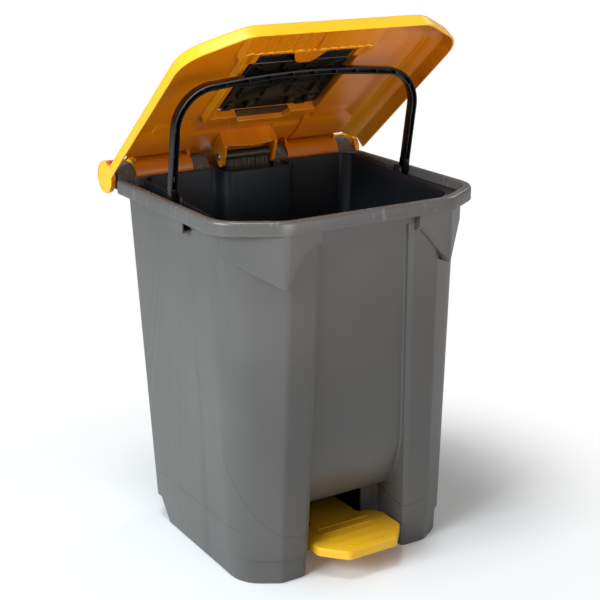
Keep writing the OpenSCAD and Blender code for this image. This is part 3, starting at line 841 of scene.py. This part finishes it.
rodWay = Bag()
rodWay.plate([(318, 300), (352, 300), (352, 520), (318, 520)], -50, 50, "x", 0.5)
wall = carved(bodyWall(), rodWay)
wall.loft([[(x, y, z) for x, y in wallOutline(5, 1.5)] for z in (3, 7)])
for name, bag, sharp in (
        ("bodyWall", wall, roundSharp), ("bodyRim", bodyRim(), roundSharp),
        ("bodyGussets", rounding(gussets(), 1.0), flatSharp), ("bodyGrips", grips(), flatSharp),
        ("hingeLugs", lugs(), flatSharp), ("rodDuct", duct(), flatSharp)):
    piece(name, bag, greyBody, "bin", ["outer_body"], sharp=sharp)
print("outer body made")

# ---- liner ----
linerSizes = {
    "baseHalf": 158, "topHalf": 181, "floor": 92, "top": 531, "skin": 2.5, "rear": 328, "flangeZ": 516,
    "flangeLow": 513.3, "bailY": 199, "notchHalf": 57, "notchDeep": 37}


def linerOutline(z, depth=0.0):
    s = linerSizes
    k = (z - s["floor"]) / (s["top"] - s["floor"])
    low = max(0, (205 - z) / (205 - s["floor"]))
    start = 12.5 + 9.5 + 6 + 14 * (1 - k) + 55 * low * low
    half = mix(s["baseHalf"], s["topHalf"], k) - depth
    front = start + depth
    rear = s["rear"] - 10 * (1 - k) - depth
    notch = s["rear"] - s["notchDeep"] - depth
    wide = s["notchHalf"] + depth
    cut = (mix(40, 64, k) - 0.4 * depth, mix(24, 38, k) - 0.4 * depth)
    return rounded(mirrored([
        (half - cut[0], front, 26), (half, front + cut[1], 40), (half, rear - 12, 12), (half - 12, rear, 12),
        (wide + 1, rear, 8), (wide, notch, 14)]), 6)


def linerTopZ(y):
    s = linerSizes
    return mix(s["flangeZ"], s["top"], smooth(s["bailY"] - 12, s["bailY"] - 8, y))


def innerLiner():
    s = linerSizes
    bag = Bag()
    heights = [s["floor"] + t for t in (0, 28, 56, 84, 113)] + [280, 360, 440, 505]

    def level(z, depth):
        return [(x, y, z) for x, y in linerOutline(z, depth)]

    def upper(depth, lift=0.0, flat=None):
        ring = linerOutline(s["flangeZ"], depth)
        return [(x, y, flat if flat is not None else linerTopZ(y) + lift) for x, y in ring]

    def flange(depth, z):
        # the flange's own outline, blended so that it keeps the same count of points
        outer = rounded(mirrored([
            (199.5 - 74 - depth, 11 + depth, 30), (199.5 - depth, 56, 40), (199.5 - depth, 331.5 - depth, 6),
            (191.5 - depth, 339.5 - depth, 6), (s["notchHalf"] + 1, 339.5 - depth, 2),
            (s["notchHalf"], 291.5, 6)]), 6)
        return [(x, y, z) for x, y in outer]

    rings = [level(z, s["skin"]) for z in heights]
    rings[0] = [(x, y, s["floor"] + s["skin"]) for x, y, z in rings[0]]
    rings += [upper(s["skin"], -0.8), upper(s["skin"] - 0.5, -0.1), upper(0.6, 0), upper(-0.4, -0.7),
              upper(-0.6, 0, s["flangeZ"]), flange(0.8, s["flangeZ"]), flange(0, s["flangeZ"] - 0.8),
              flange(0, s["flangeLow"] + 0.5), flange(0.5, s["flangeLow"]), upper(0, 0, s["flangeLow"])]
    rings += [level(z, 0) for z in reversed(heights)]
    bag.loft(rings)

    ears = Bag()
    outline = rounded([(s["bailY"] - 9, 500, 0), (s["bailY"] + 9, 500, 0),
                       (s["bailY"] + 9, 533, 8.5), (s["bailY"] - 9, 533, 8.5)], 8)
    ears.both(lambda: ears.plate(outline, 180.5, 185.4, "x", 0.8))
    studs = Bag()
    studs.both(lambda: studs.bar(181.2, 190, (s["bailY"], 525), 3.05, 0.01, 32))
    bag.join(carved(ears, studs))
    return bag


piece("liner", innerLiner(), blackLiner, "bin", ["inner_liner"], sharp=roundSharp)
print("liner made")

# ---- bail ----
bailSizes = {"y": 199, "z": 525, "half": 199, "reach": 161, "corner": 62, "crown": 8, "band": 10, "depth": 13,
             "lean": 9.5, "skin": 2.4, "ribGap": 33, "stud": 3}


def bailPath(offset=0.0):
    # half of the bail, from the foot of the leg to the middle of the bar
    s = bailSizes
    side = [(s["half"] - offset, y) for y in (0, 30, 60)]
    bend = [(s["half"] - s["corner"] + (s["corner"] - offset) * cos(radians(a)),
             s["reach"] - s["corner"] + (s["corner"] - offset) * sin(radians(a))) for a in range(0, 91, 6)]
    flat = s["half"] - s["corner"]
    top = [(flat * (1 - t / 8), s["reach"] - offset + s["crown"] * (1 - (1 - t / 8) ** 2))
           for t in range(1, 9)]
    right = side + bend + top
    return right + [(-x, y) for x, y in reversed(right[:-1])]


def bail():
    # a U section open to the front, swept along the path, with cross ribs inside
    s = bailSizes
    d = s["depth"] / 2
    w = s["skin"]
    b = s["band"]
    section = [(1.2, -d), (0.3, -d + 0.6), (0, -d + 1.6), (0, d - 1.6), (0.5, d - 0.5), (1.6, d),
               (b - 1.6, d), (b - 0.5, d - 0.5), (b, d - 1.6), (b, -d + 1.6), (b - 0.3, -d + 0.6),
               (b - 1.2, -d), (b - w, -d), (b - w - 0.2, d - w), (w + 0.2, d - w), (w, -d)]
    bag = Bag()
    paths = [bailPath(offset) for offset, z in section]
    bag.loft([[(paths[k][i][0], section[k][1], paths[k][i][1]) for k in range(len(section))]
              for i in range(len(paths[0]))])
    centre = [(x, 1.4, z) for x, z in bailPath(b / 2)][1:-1]
    line = bpy.data.meshes.new("line")
    line.from_pydata(centre, [(i, i + 1) for i in range(len(centre) - 1)], [])
    bag.take(grown(ribPaths, {"Spacing": s["ribGap"], "Size": (1.6, s["depth"] - w - 1.4, b - w),
                              "Material": blackBail}, line))

    def feet():
        outline = rounded([(-d, -6.5, 6), (d, -6.5, 6), (d, 17, 1), (-d, 17, 1)], 4)
        bag.plate(outline, s["half"] - b, s["half"] - 0.2, "x", 0.6)
        bag.bar(181.4, s["half"] - b + 1, (0, 0), s["stud"], 0.4, 32)
        bag.lathe([(s["half"] - 1, 3.6), (s["half"] + 0.4, 3.6), (s["half"] + 0.9, 2.6)], (0, 0), 24)
    bag.both(feet)
    bag.turn(Matrix.Translation((0, s["y"], s["z"])) @ Matrix.Rotation(radians(s["lean"]), 4, "X"))
    return bag


piece("bailHandle", bail(), blackBail, "bail", ["bail_handle"], sharp=roundSharp)
print("bail made")

# ---- lid ----
lidSizes = {
    "open": 39.1, "half": rimHalf + 8, "front": -6, "top": 551, "skin": 3, "skirtEnd": 345, "cut": (80, 51),
    "hatchHalf": 88, "hatchFront": 100, "hatchRear": 247, "barrel": 24, "frameLow": 536}

# (inset, height) from the lip's foot over the roof, and back along the ceiling
roofProfile = [(1.4, 511.1), (0.4, 511.5), (0, 512.6), (3.6, 527.6), (4.3, 529.4), (5.8, 531), (8.2, 532.2),
               (29, 544.0), (31, 544.9), (34, 545.8), (45, 549.0), (48, 549.8), (52, 550.6), (56, 551)]
ceilingProfile = [(56, 548), (50, 547.4), (46, 546.4), (35, 542.9), (32, 541.9), (29.4, 540.6),
                  (28.8, 539.9), (26.6, 539.2), (26, 538.4), (12, 531.2), (8, 530.2), (6.4, 528.2),
                  (3.4, 513), (3.1, 511.8), (2.4, 511.2)]


def lidOutline(depth, rear):
    s = lidSizes
    return planOutline(s["half"] - depth, s["front"] + depth, rear,
                       (s["cut"][0] - 0.4 * depth, s["cut"][1] - 0.4 * depth), (6, 6),
                       56 - 0.4 * min(depth, 60), 9)


def hatchOutline(grow, steps=9):
    s = lidSizes
    return planOutline(s["hatchHalf"] + grow, s["hatchFront"] - grow, s["hatchRear"] + grow,
                       (3.5, 3.5), (2.5, 2.5), 5, steps)


def lidRoof():
    s = lidSizes
    bag = Bag()
    rings = [[(x, y, z) for x, y in lidOutline(t, hingeY + 0.6)] for t, z in roofProfile]
    rings += [[(x, y, z) for x, y in hatchOutline(0)] for z in (551, 548)]
    rings += [[(x, y, z) for x, y in lidOutline(t, hingeY - 0.4)] for t, z in ceilingProfile]
    bag.loft(rings, loop=True)
    rear = Bag()
    rear.plate([(s["skirtEnd"], 480), (hingeY + 20, 480), (hingeY + 20, 548), (s["skirtEnd"], 548)],
               -300, 300, "x", 0.01)
    return carved(bag, rear)


def sector(r0, r1, a0, a1, steps):
    outer = circle((hingeY, hingeZ), r1, steps, radians(a0), radians(a1))
    inner = circle((hingeY, hingeZ), r0, steps, radians(a0), radians(a1))
    return outer + inner[::-1]


def lidBarrel():
    s = lidSizes
    r = s["barrel"]
    lugIn = lugSizes["inner"]
    lugOut = lugSizes["outer"]
    bag = Bag()
    bag.plate(sector(r - 3, r, 2, 103, 24), -rimHalf, rimHalf, "x", 0.2)

    def build():
        bag.plate(sector(r - 3, r, -150, 3, 36), lugIn[1] + 0.5, lugOut[0] - 0.5, "x", 0.8)
        bag.plate(sector(r - 3, r - 0.4, 100, 214, 28), lugIn[1] + 0.5, lugOut[0] - 0.5, "x", 0.8)
        for x in (lugIn[1] + 0.5, lugOut[0] - 4, rimHalf - 3.5):
            bag.tube(x, x + 3.5, (hingeY, hingeZ), r - 0.8, lugSizes["pin"] + boreRoom, 64)
        # small hooks that hang beside the lugs
        for x in (lugIn[1] + 1, lugOut[0] - 5):
            bag.plate(rounded([(hingeY - 20, hingeZ + 19, 2), (hingeY - 26, hingeZ + 19, 2),
                               (hingeY - 26.5, hingeZ + 8, 3), (hingeY - 22, hingeZ + 6, 2)], 3),
                      x, x + 4, "x", 0.6)
    bag.both(build)
    return bag


frameSizes = {"side": 8, "rear": 17, "notch": 42, "tongue": 21, "window": 79, "rampFront": 27,
              "rampRear": 84, "grooves": 15.2, "rampHalf": 107}


def hatchFrame():
    s = lidSizes
    f = frameSizes
    low = s["frameLow"]
    bag = Bag()
    inner = s["hatchHalf"]

    def build():
        side = rounded([(inner, s["hatchFront"] - 22, 2), (inner + f["side"], s["hatchFront"] - 22, 3),
                        (inner + f["side"], s["hatchRear"] + 5, 5), (inner, s["hatchRear"] + 5, 1)], 4)
        bag.plate(side, low, 549, "z", 1.2)
        # front bar beside the windows
        near = f["rampRear"] - 4
        far = s["hatchFront"] + 3
        corner = rounded([(f["window"], near, 2), (f["rampHalf"], near, 6), (f["rampHalf"] - 3, far, 6),
                          (f["window"], far, 2)], 4)
        bag.plate(corner, low, 549, "z", 1.2)
    bag.both(build)
    r = s["hatchRear"]
    n = f["notch"]
    bag.box(-n - 4, r + 14, n + 4, r + 26, low, 549, "z", 1.2, 3)

    def jog():
        bag.box(n + 2, r, inner + f["side"], r + 11, low, 549, "z", 1.2, 3)
        bag.plate(rounded([(n + 4, r, 1), (n + 16, r + 4, 3), (n + 4, r + 26, 4), (n - 6, r + 22, 2),
                           (n - 4, r + 14, 1)], 4), low, 549, "z", 1.2)
    bag.both(jog)
    bag.box(-f["window"] - 2, f["rampRear"] - 5, f["window"] + 2, f["rampRear"], low, 549, "z", 1.2, 1)
    # half round tongue with three ribs
    tongue = rounded([(-f["tongue"] - 6, f["rampRear"] - 3, 0), (f["tongue"] + 6, f["rampRear"] - 3, 0),
                      (f["tongue"], s["hatchFront"] - 6, 6), (f["tongue"] - 9, s["hatchFront"] + 9, 13),
                      (9 - f["tongue"], s["hatchFront"] + 9, 13), (-f["tongue"], s["hatchFront"] - 6, 6)], 6)
    bag.plate(tongue, low - 0.6, low + 2.4, "z", 1.0)
    for x in (-9, 0, 9):
        bag.plate(rounded([(30, 541, 0), (60, low + 0.6, 4), (s["hatchFront"] + 3, low - 2.2, 3),
                           (s["hatchFront"] + 4, low + 1, 0), (30, 545, 0)], 3), x - 1.3, x + 1.3, "x", 0.5)
    # stepped boards on the finger ramp
    count = int(f["rampHalf"] // f["grooves"])
    for i in range(-count, count):
        x0 = i * f["grooves"] + 0.5
        x1 = (i + 1) * f["grooves"] - 0.5
        lean = 0.9 * (1 if i >= 0 else -1)
        near = f["rampFront"]
        far = f["rampRear"]
        foot = low + 1
        bag.loft([[(x0, near, 541.6), (x1, near, 541.6), (x1, far, foot - lean), (x0, far, foot + lean)],
                  [(x0, near, 547.5), (x1, near, 547.5), (x1, far, 548.6), (x0, far, 548.6)]])
    return bag


def windowPanels():
    # the dark latch plates seen beside the tongue
    s = lidSizes
    f = frameSizes
    bag = Bag()
    bag.box(-f["window"] - 3, f["rampRear"] - 6, f["window"] + 3, s["hatchFront"] + 1.0, 544.2, 547.6, "z",
            0.5, 2)
    bag.box(-f["notch"] - 2, s["hatchRear"] - 0.5, f["notch"] + 2, s["hatchRear"] + 16, 543.5, 547.6, "z",
            0.5, 1)
    bag.both(lambda: ribRow(bag, 3, (34, 92, 543.4), (18, 0, 0), (1.6, 18, 3), blackHatch))
    return bag


def rearSteps():
    # the ceiling's steps down to the hinge
    bag = Bag()

    def build():
        slope = [(281, 549.6), (296, 543.4), (318, 541), (343.5, 540.4), (343.5, 549.6)]
        bag.plate(slope, 92, 186, "x", 1.4)
        bag.plate([(296, 549.6), (306, 544.6), (343.5, 543.2), (343.5, 549.6)], 44, 93, "x", 1.4)
        bag.plate([(262, 549.6), (272, 546.2), (300, 544.8), (300, 549.6)], 104, 162, "x", 1.4)
    bag.both(build)
    return bag


bracketSizes = {"y": 308, "cheek": 40, "thick": 6, "pin": (332.7, 518.3), "pinRadius": 4}


def bracket():
    s = bracketSizes
    pinY, pinZ = s["pin"]
    bag = Bag()
    cheek = rounded([(s["y"], 549, 0), (s["y"], pinZ + 2, 3), (pinY + 0.5, hingeZ - 23, 4),
                     (pinY + 10, hingeZ - 23, 4), (pinY + 12, 549, 0)], 5)
    bag.both(lambda: bag.plate(cheek, s["cheek"], s["cheek"] + s["thick"], "x", 0.9))
    hole = Bag()
    hole.bar(-60, 60, s["pin"], s["pinRadius"] + boreRoom, 0.01)
    bag = carved(bag, hole)
    lower = [(x, pinZ + 1.2 + 3.5 * (x / 41) ** 2) for x in range(-41, 42, 4)]
    nub = [(x, z - (1.6 if abs(x) < 3 else 0)) for x, z in lower]
    bag.plate(nub + [(41, 549), (-41, 549)], s["y"], s["y"] + 3, "y", 0.7)
    return bag


def hingeCap(side):
    bag = Bag()
    r = lidSizes["barrel"]
    bag.lathe([(rimHalf, r - 0.3), (rimHalf + 2.6, r), (rimHalf + 3.9, r - 0.5), (rimHalf + 4.6, r - 1.5),
               (rimHalf + 4.6, r - 2.6), (rimHalf + 4.2, r - 3.1), (rimHalf + 3.7, r - 3.4),
               (rimHalf + 3.7, 3), (rimHalf + 3.7, 0.01)], (hingeY, hingeZ), 72)
    bag.turn(Matrix.Scale(side, 4, (1, 0, 0)))
    return bag


for name, bag, sharp in (
        ("lidRoof", lidRoof(), roundSharp), ("lidBarrel", lidBarrel(), flatSharp),
        ("hatchFrame", hatchFrame(), flatSharp), ("rearSteps", rearSteps(), flatSharp),
        ("rodBracket", bracket(), flatSharp)):
    piece(name, bag, yellowLid, "lid", ["lid"], opened=True, sharp=sharp)
piece("latchPlates", windowPanels(), blackHatch, "lid", ["lid"], opened=True)
for side, name in ((1, "Right"), (-1, "Left")):
    piece("hingeCap" + name, hingeCap(side), yellowLid, "lid", ["hinge_cap_" + name.lower()],
          opened=True)
print("lid made")

# ---- hatch ----
hatchSizes = {"gap": 1.5, "thick": 3, "ribZ": 540.5, "axis": (242, 547.8), "rib": 1.8}


def hatch():
    s = hatchSizes
    lid = lidSizes
    top = lid["top"]
    bag = Bag()
    bag.plate(hatchOutline(-s["gap"], 4), top - s["thick"], top, "z", 0.8)
    pins = Bag()
    pins.bar(-90, 90, s["axis"], 1.6, 0.01, 24)
    bag = carved(bag, pins)
    # tray wall round the underside
    def tray(grow, z):
        half = lid["hatchHalf"] - grow
        return [(x, y, z) for x, y in rounded([
            (-half, lid["hatchFront"] + grow, 6), (half, lid["hatchFront"] + grow, 6), (half, 228, 5),
            (-half, 228, 5)], 5)]
    bag.loft([tray(8, top - 2.5), tray(8.2, 539.6), tray(8.7, 539), tray(10, 539), tray(10.5, 539.6),
              tray(10.6, top - 2.5)], loop=True)
    low = s["ribZ"]
    high = top - 2.6
    middle = (lid["hatchFront"] + 228) / 2
    tall = high - low
    for y in (136, 172, 206):
        ribRow(bag, 1, (0, y, low + tall / 2), (1, 0, 0), (158, s["rib"], tall), blackHatch)
    ribRow(bag, 4, (-60, middle, low + tall / 2 + 0.6), (40, 0, 0), (s["rib"], 114, tall - 1), blackHatch)
    for turn in (-1, 1):
        run = Vector((150, 104 * turn, 0))
        side = Vector((-run.y, run.x, 0)).normalized() * 1.1
        start = Vector((0, middle, 0)) - run / 2
        ends = [start - side, start + run - side, start + run + side, start + side]
        bag.loft([[(p.x, p.y, low - 1) for p in ends], [(p.x, p.y, high) for p in ends]])

    def bosses():
        # clip bosses near the rear edge
        for x in (34, 66):
            bag.box(x - 5, 214, x + 5, 227, low - 2.5, high, "z", 0.8, 1.5)
        bag.tube(54, 70, s["axis"], 3.1, 1.6, 24)
    bag.both(bosses)
    return bag


piece("hatchFlap", hatch(), blackHatch, "hatch", ["lid_hatch"], opened=True)
print("hatch made")

# ---- push rod ----
rodSizes = {"half": 38, "thick": 10, "foot": (310, 52), "footHalf": 12, "rail": 4, "pin": 4, "eye": 8}


def pushRod():
    s = rodSizes
    pin = jointAt["rod_swing"]
    topY = (pin[1] - rimFront) / milli
    topZ = pin[2] / milli
    footY, footZ = s["foot"]
    length = hypot(topY - footY, topZ - footZ)
    lean = atan2(topY - footY, topZ - footZ)
    t = s["thick"] / 2
    bag = Bag()
    bag.box(-s["half"], 60, s["half"], length - 6, -t, -t + 3.4, "y", 0.6, 2)
    for x in (-s["half"], -s["half"] / 3 - 2, s["half"] / 3 - 2, s["half"] - s["rail"]):
        bag.box(x, 60, x + s["rail"], length - 6, -t, t, "y", 0.6, 1)
    ribRow(bag, 6, (0, 0, 62), (0, 0, 75), (2 * s["half"] - 2, s["thick"] - 1, 3), blackHatch)
    ribRow(bag, 9, (-s["half"] + 8, 0.2, length - 16), (7.5, 0, 0), (2.2, s["thick"] + 3, 26), blackHatch)
    bag.plate(rounded([(-t, 6, 0), (t, 6, 0), (t, 64, 2), (-t, 64, 2)], 2), -s["footHalf"], s["footHalf"],
              "x", 0.6)
    bag.tube(-s["footHalf"], s["footHalf"], (0, 0), s["eye"], s["pin"] + boreRoom)
    bag.tube(-s["half"], s["half"], (0, length), s["eye"], s["pin"] + boreRoom)
    there = Matrix.Translation((0, footY, footZ)) @ Matrix.Rotation(-lean, 4, "X")
    bag.turn(there)
    return bag


piece("pushRod", pushRod(), blackHatch, "rod", ["push_rod"])
print("push rod made")

# ---- pedal ----
pedalSizes = {"out": 15, "half": 71, "noseHalf": 40, "top": 46, "deep": 13, "skin": 3.5, "armHalf": 39.5,
              "armEnd": 146, "ribStep": 16.4}


def pedalOutline():
    s = pedalSizes
    return rounded(mirrored([
        (s["noseHalf"], -s["out"], 12), (s["half"], 20, 12), (s["half"], 66, 13), (s["half"] - 16, 83, 12),
        (s["armHalf"] + 1, 84, 9), (s["armHalf"], s["armEnd"], 2)]), 6)


def pedal():
    s = pedalSizes
    outline = pedalOutline()
    bag = Bag()
    top = s["top"]

    def ring(depth, z):
        return [(x, y, z) for x, y in (inset(outline, depth) if depth else outline)]
    bag.loft([ring(s["skin"], top - s["skin"]), ring(s["skin"], top - s["deep"]),
              ring(0.6, top - s["deep"]), ring(0, top - s["deep"] + 0.6), ring(0, top - 1.9),
              ring(0.3, top - 1.1), ring(0.9, top - 0.4), ring(1.9, top)])
    for i in range(5):
        half = 29 if i == 0 else 43
        y = -1.5 + i * s["ribStep"]
        bag.plate(boxOutline(-half, y, half, y + 3.2, 1.5, 4), top - 1, top + 1.2, "z", 0.6)
    bosses = Bag()
    screws = Bag()
    for y in (114, 134):
        bosses.plate(circle((0, y), 6, 32), 38, top - 3, "z", 0.5)
        screws.plate(circle((0, y), 2.05, 24), 30, top - 4, "z", 0.01)
    bag.join(carved(bosses, screws))
    ribRow(bag, 5, (0, 6, top - 6.5), (0, 16.4, 0), (112, 1.8, 7), yellowPedal)
    ribRow(bag, 3, (-28, 76, top - 6.5), (28, 0, 0), (1.8, 134, 7), yellowPedal)
    return bag


piece("pedalPlate", pedal(), yellowPedal, "pedal", ["pedal"], sharp=roundSharp)
print("pedal made")

# ---- CAD pieces that stay ----
dress = {
    "hatch_pin": steel, "hinge_pin_left": steel, "hinge_pin_right": steel, "rod_upper_pin": steel,
    "rod_lower_pin": steel, "pedal_screws": steel, "pedal_axle": steel, "saddle_screws": steel,
    "pedal_lever": blackLever, "axle_saddle_left": greyBody, "axle_saddle_right": greyBody}
for node, material in dress.items():
    kept = frame["nodes"][node]
    kept.data.materials.clear()
    kept.data.materials.append(material)

# ---- studio ----
studio = {
    "camera": (-0.976, -1.5755, 0.943), "azimuth": 31.924, "pitch": 17.671, "lens": 79.8,
    "world": 0.22, "floorGlow": 0.06, "lamps": {
        # where it is, where it points, its width, power, colour and spread
        "key": ((-2.4, -0.4, 1.5), (0, 0, 0.35), 1.5, 72, (0.82, 0.93, 1.0), 180),
        "front": ((0.2, -2.9, 1.6), (0, 0, 0.35), 0.9, 3, (1.0, 0.95, 0.9), 180),
        "right": ((2.2, 0.4, 1.8), (0, 0, 0.4), 1.2, 12, (1.0, 0.98, 0.96), 180),
        "top": ((-0.6, -0.2, 2.7), (0, 0, 0.45), 0.9, 30, (1, 1, 1), 180),
        "lid": ((0.1, -0.9, 0.68), (0, 0.06, 0.76), 0.8, 1.0, (1.0, 0.99, 0.97), 60)}}


def lamp(name, at, aim, width, power, colour, spread):
    data = bpy.data.lights.new(name, "AREA")
    data.shape = "RECTANGLE"
    data.size = width
    data.size_y = width * 0.7
    data.energy = power
    data.color = colour
    data.spread = radians(spread)
    made = bpy.data.objects.new(name, data)
    made.location = at
    made.visible_camera = False
    made.rotation_euler = (Vector(aim) - Vector(at)).to_track_quat("-Z", "Y").to_euler()
    bpy.context.scene.collection.objects.link(made)


for name, values in studio["lamps"].items():
    lamp(name, *values)

world = bpy.data.worlds.new("studio")
bpy.context.scene.world = world
world.use_nodes = True
sky = world.node_tree
background = sky.nodes["Background"]
background.inputs[0].default_value = (1, 1, 1, 1)
path = sky.nodes.new("ShaderNodeLightPath")
strength = sky.nodes.new("ShaderNodeMix")
strength.data_type = "FLOAT"
strength.inputs[2].default_value = studio["world"]
strength.inputs[3].default_value = 1.0
sky.links.new(path.outputs["Is Camera Ray"], strength.inputs[0])
sky.links.new(strength.outputs[0], background.inputs[1])

floorMesh = bpy.data.meshes.new("floor")
floorMesh.from_pydata([(-20, -20, 0), (20, -20, 0), (20, 20, 0), (-20, 20, 0)], [], [(0, 1, 2, 3)])
floorPiece = linked("studioFloor", floorMesh)
paper = Surface("white paper floor")
away = (paper.x * paper.x + (paper.y - 190) * (paper.y - 190)) ** 0.5
ray = paper.node("ShaderNodeLightPath", {}, {}, "Is Camera Ray")
glow = paper.node("ShaderNodeEmission", {}, {"Color": (1, 1, 1, 1), "Strength": 1.0})
paper.wear(Base_Color=(0.86, 0.86, 0.86, 1), Roughness=0.8, Emission_Color=(1, 1, 1, 1),
           Emission_Strength=studio["floorGlow"])
lit = Value(paper, paper.shader.outputs[0])
bright = paper.node("ShaderNodeMixShader", {}, [away.step(260, 640) * ray, lit, glow])
paper.tree.links.new(bright.socket, paper.tree.nodes["Material Output"].inputs["Surface"])
floorMesh.materials.append(paper.material)

cameraData = bpy.data.cameras.new("camera")
cameraData.sensor_width = 36
cameraData.lens = studio["lens"]
camera = bpy.data.objects.new("camera", cameraData)
camera.location = studio["camera"]
azimuth = radians(studio["azimuth"])
pitch = radians(studio["pitch"])
sight = Vector((sin(azimuth) * cos(pitch), cos(azimuth) * cos(pitch), -sin(pitch)))
camera.rotation_euler = sight.to_track_quat("-Z", "Y").to_euler()
bpy.context.scene.collection.objects.link(camera)
bpy.context.scene.camera = camera
bpy.context.scene.view_settings.view_transform = "Standard"
print("studio made")
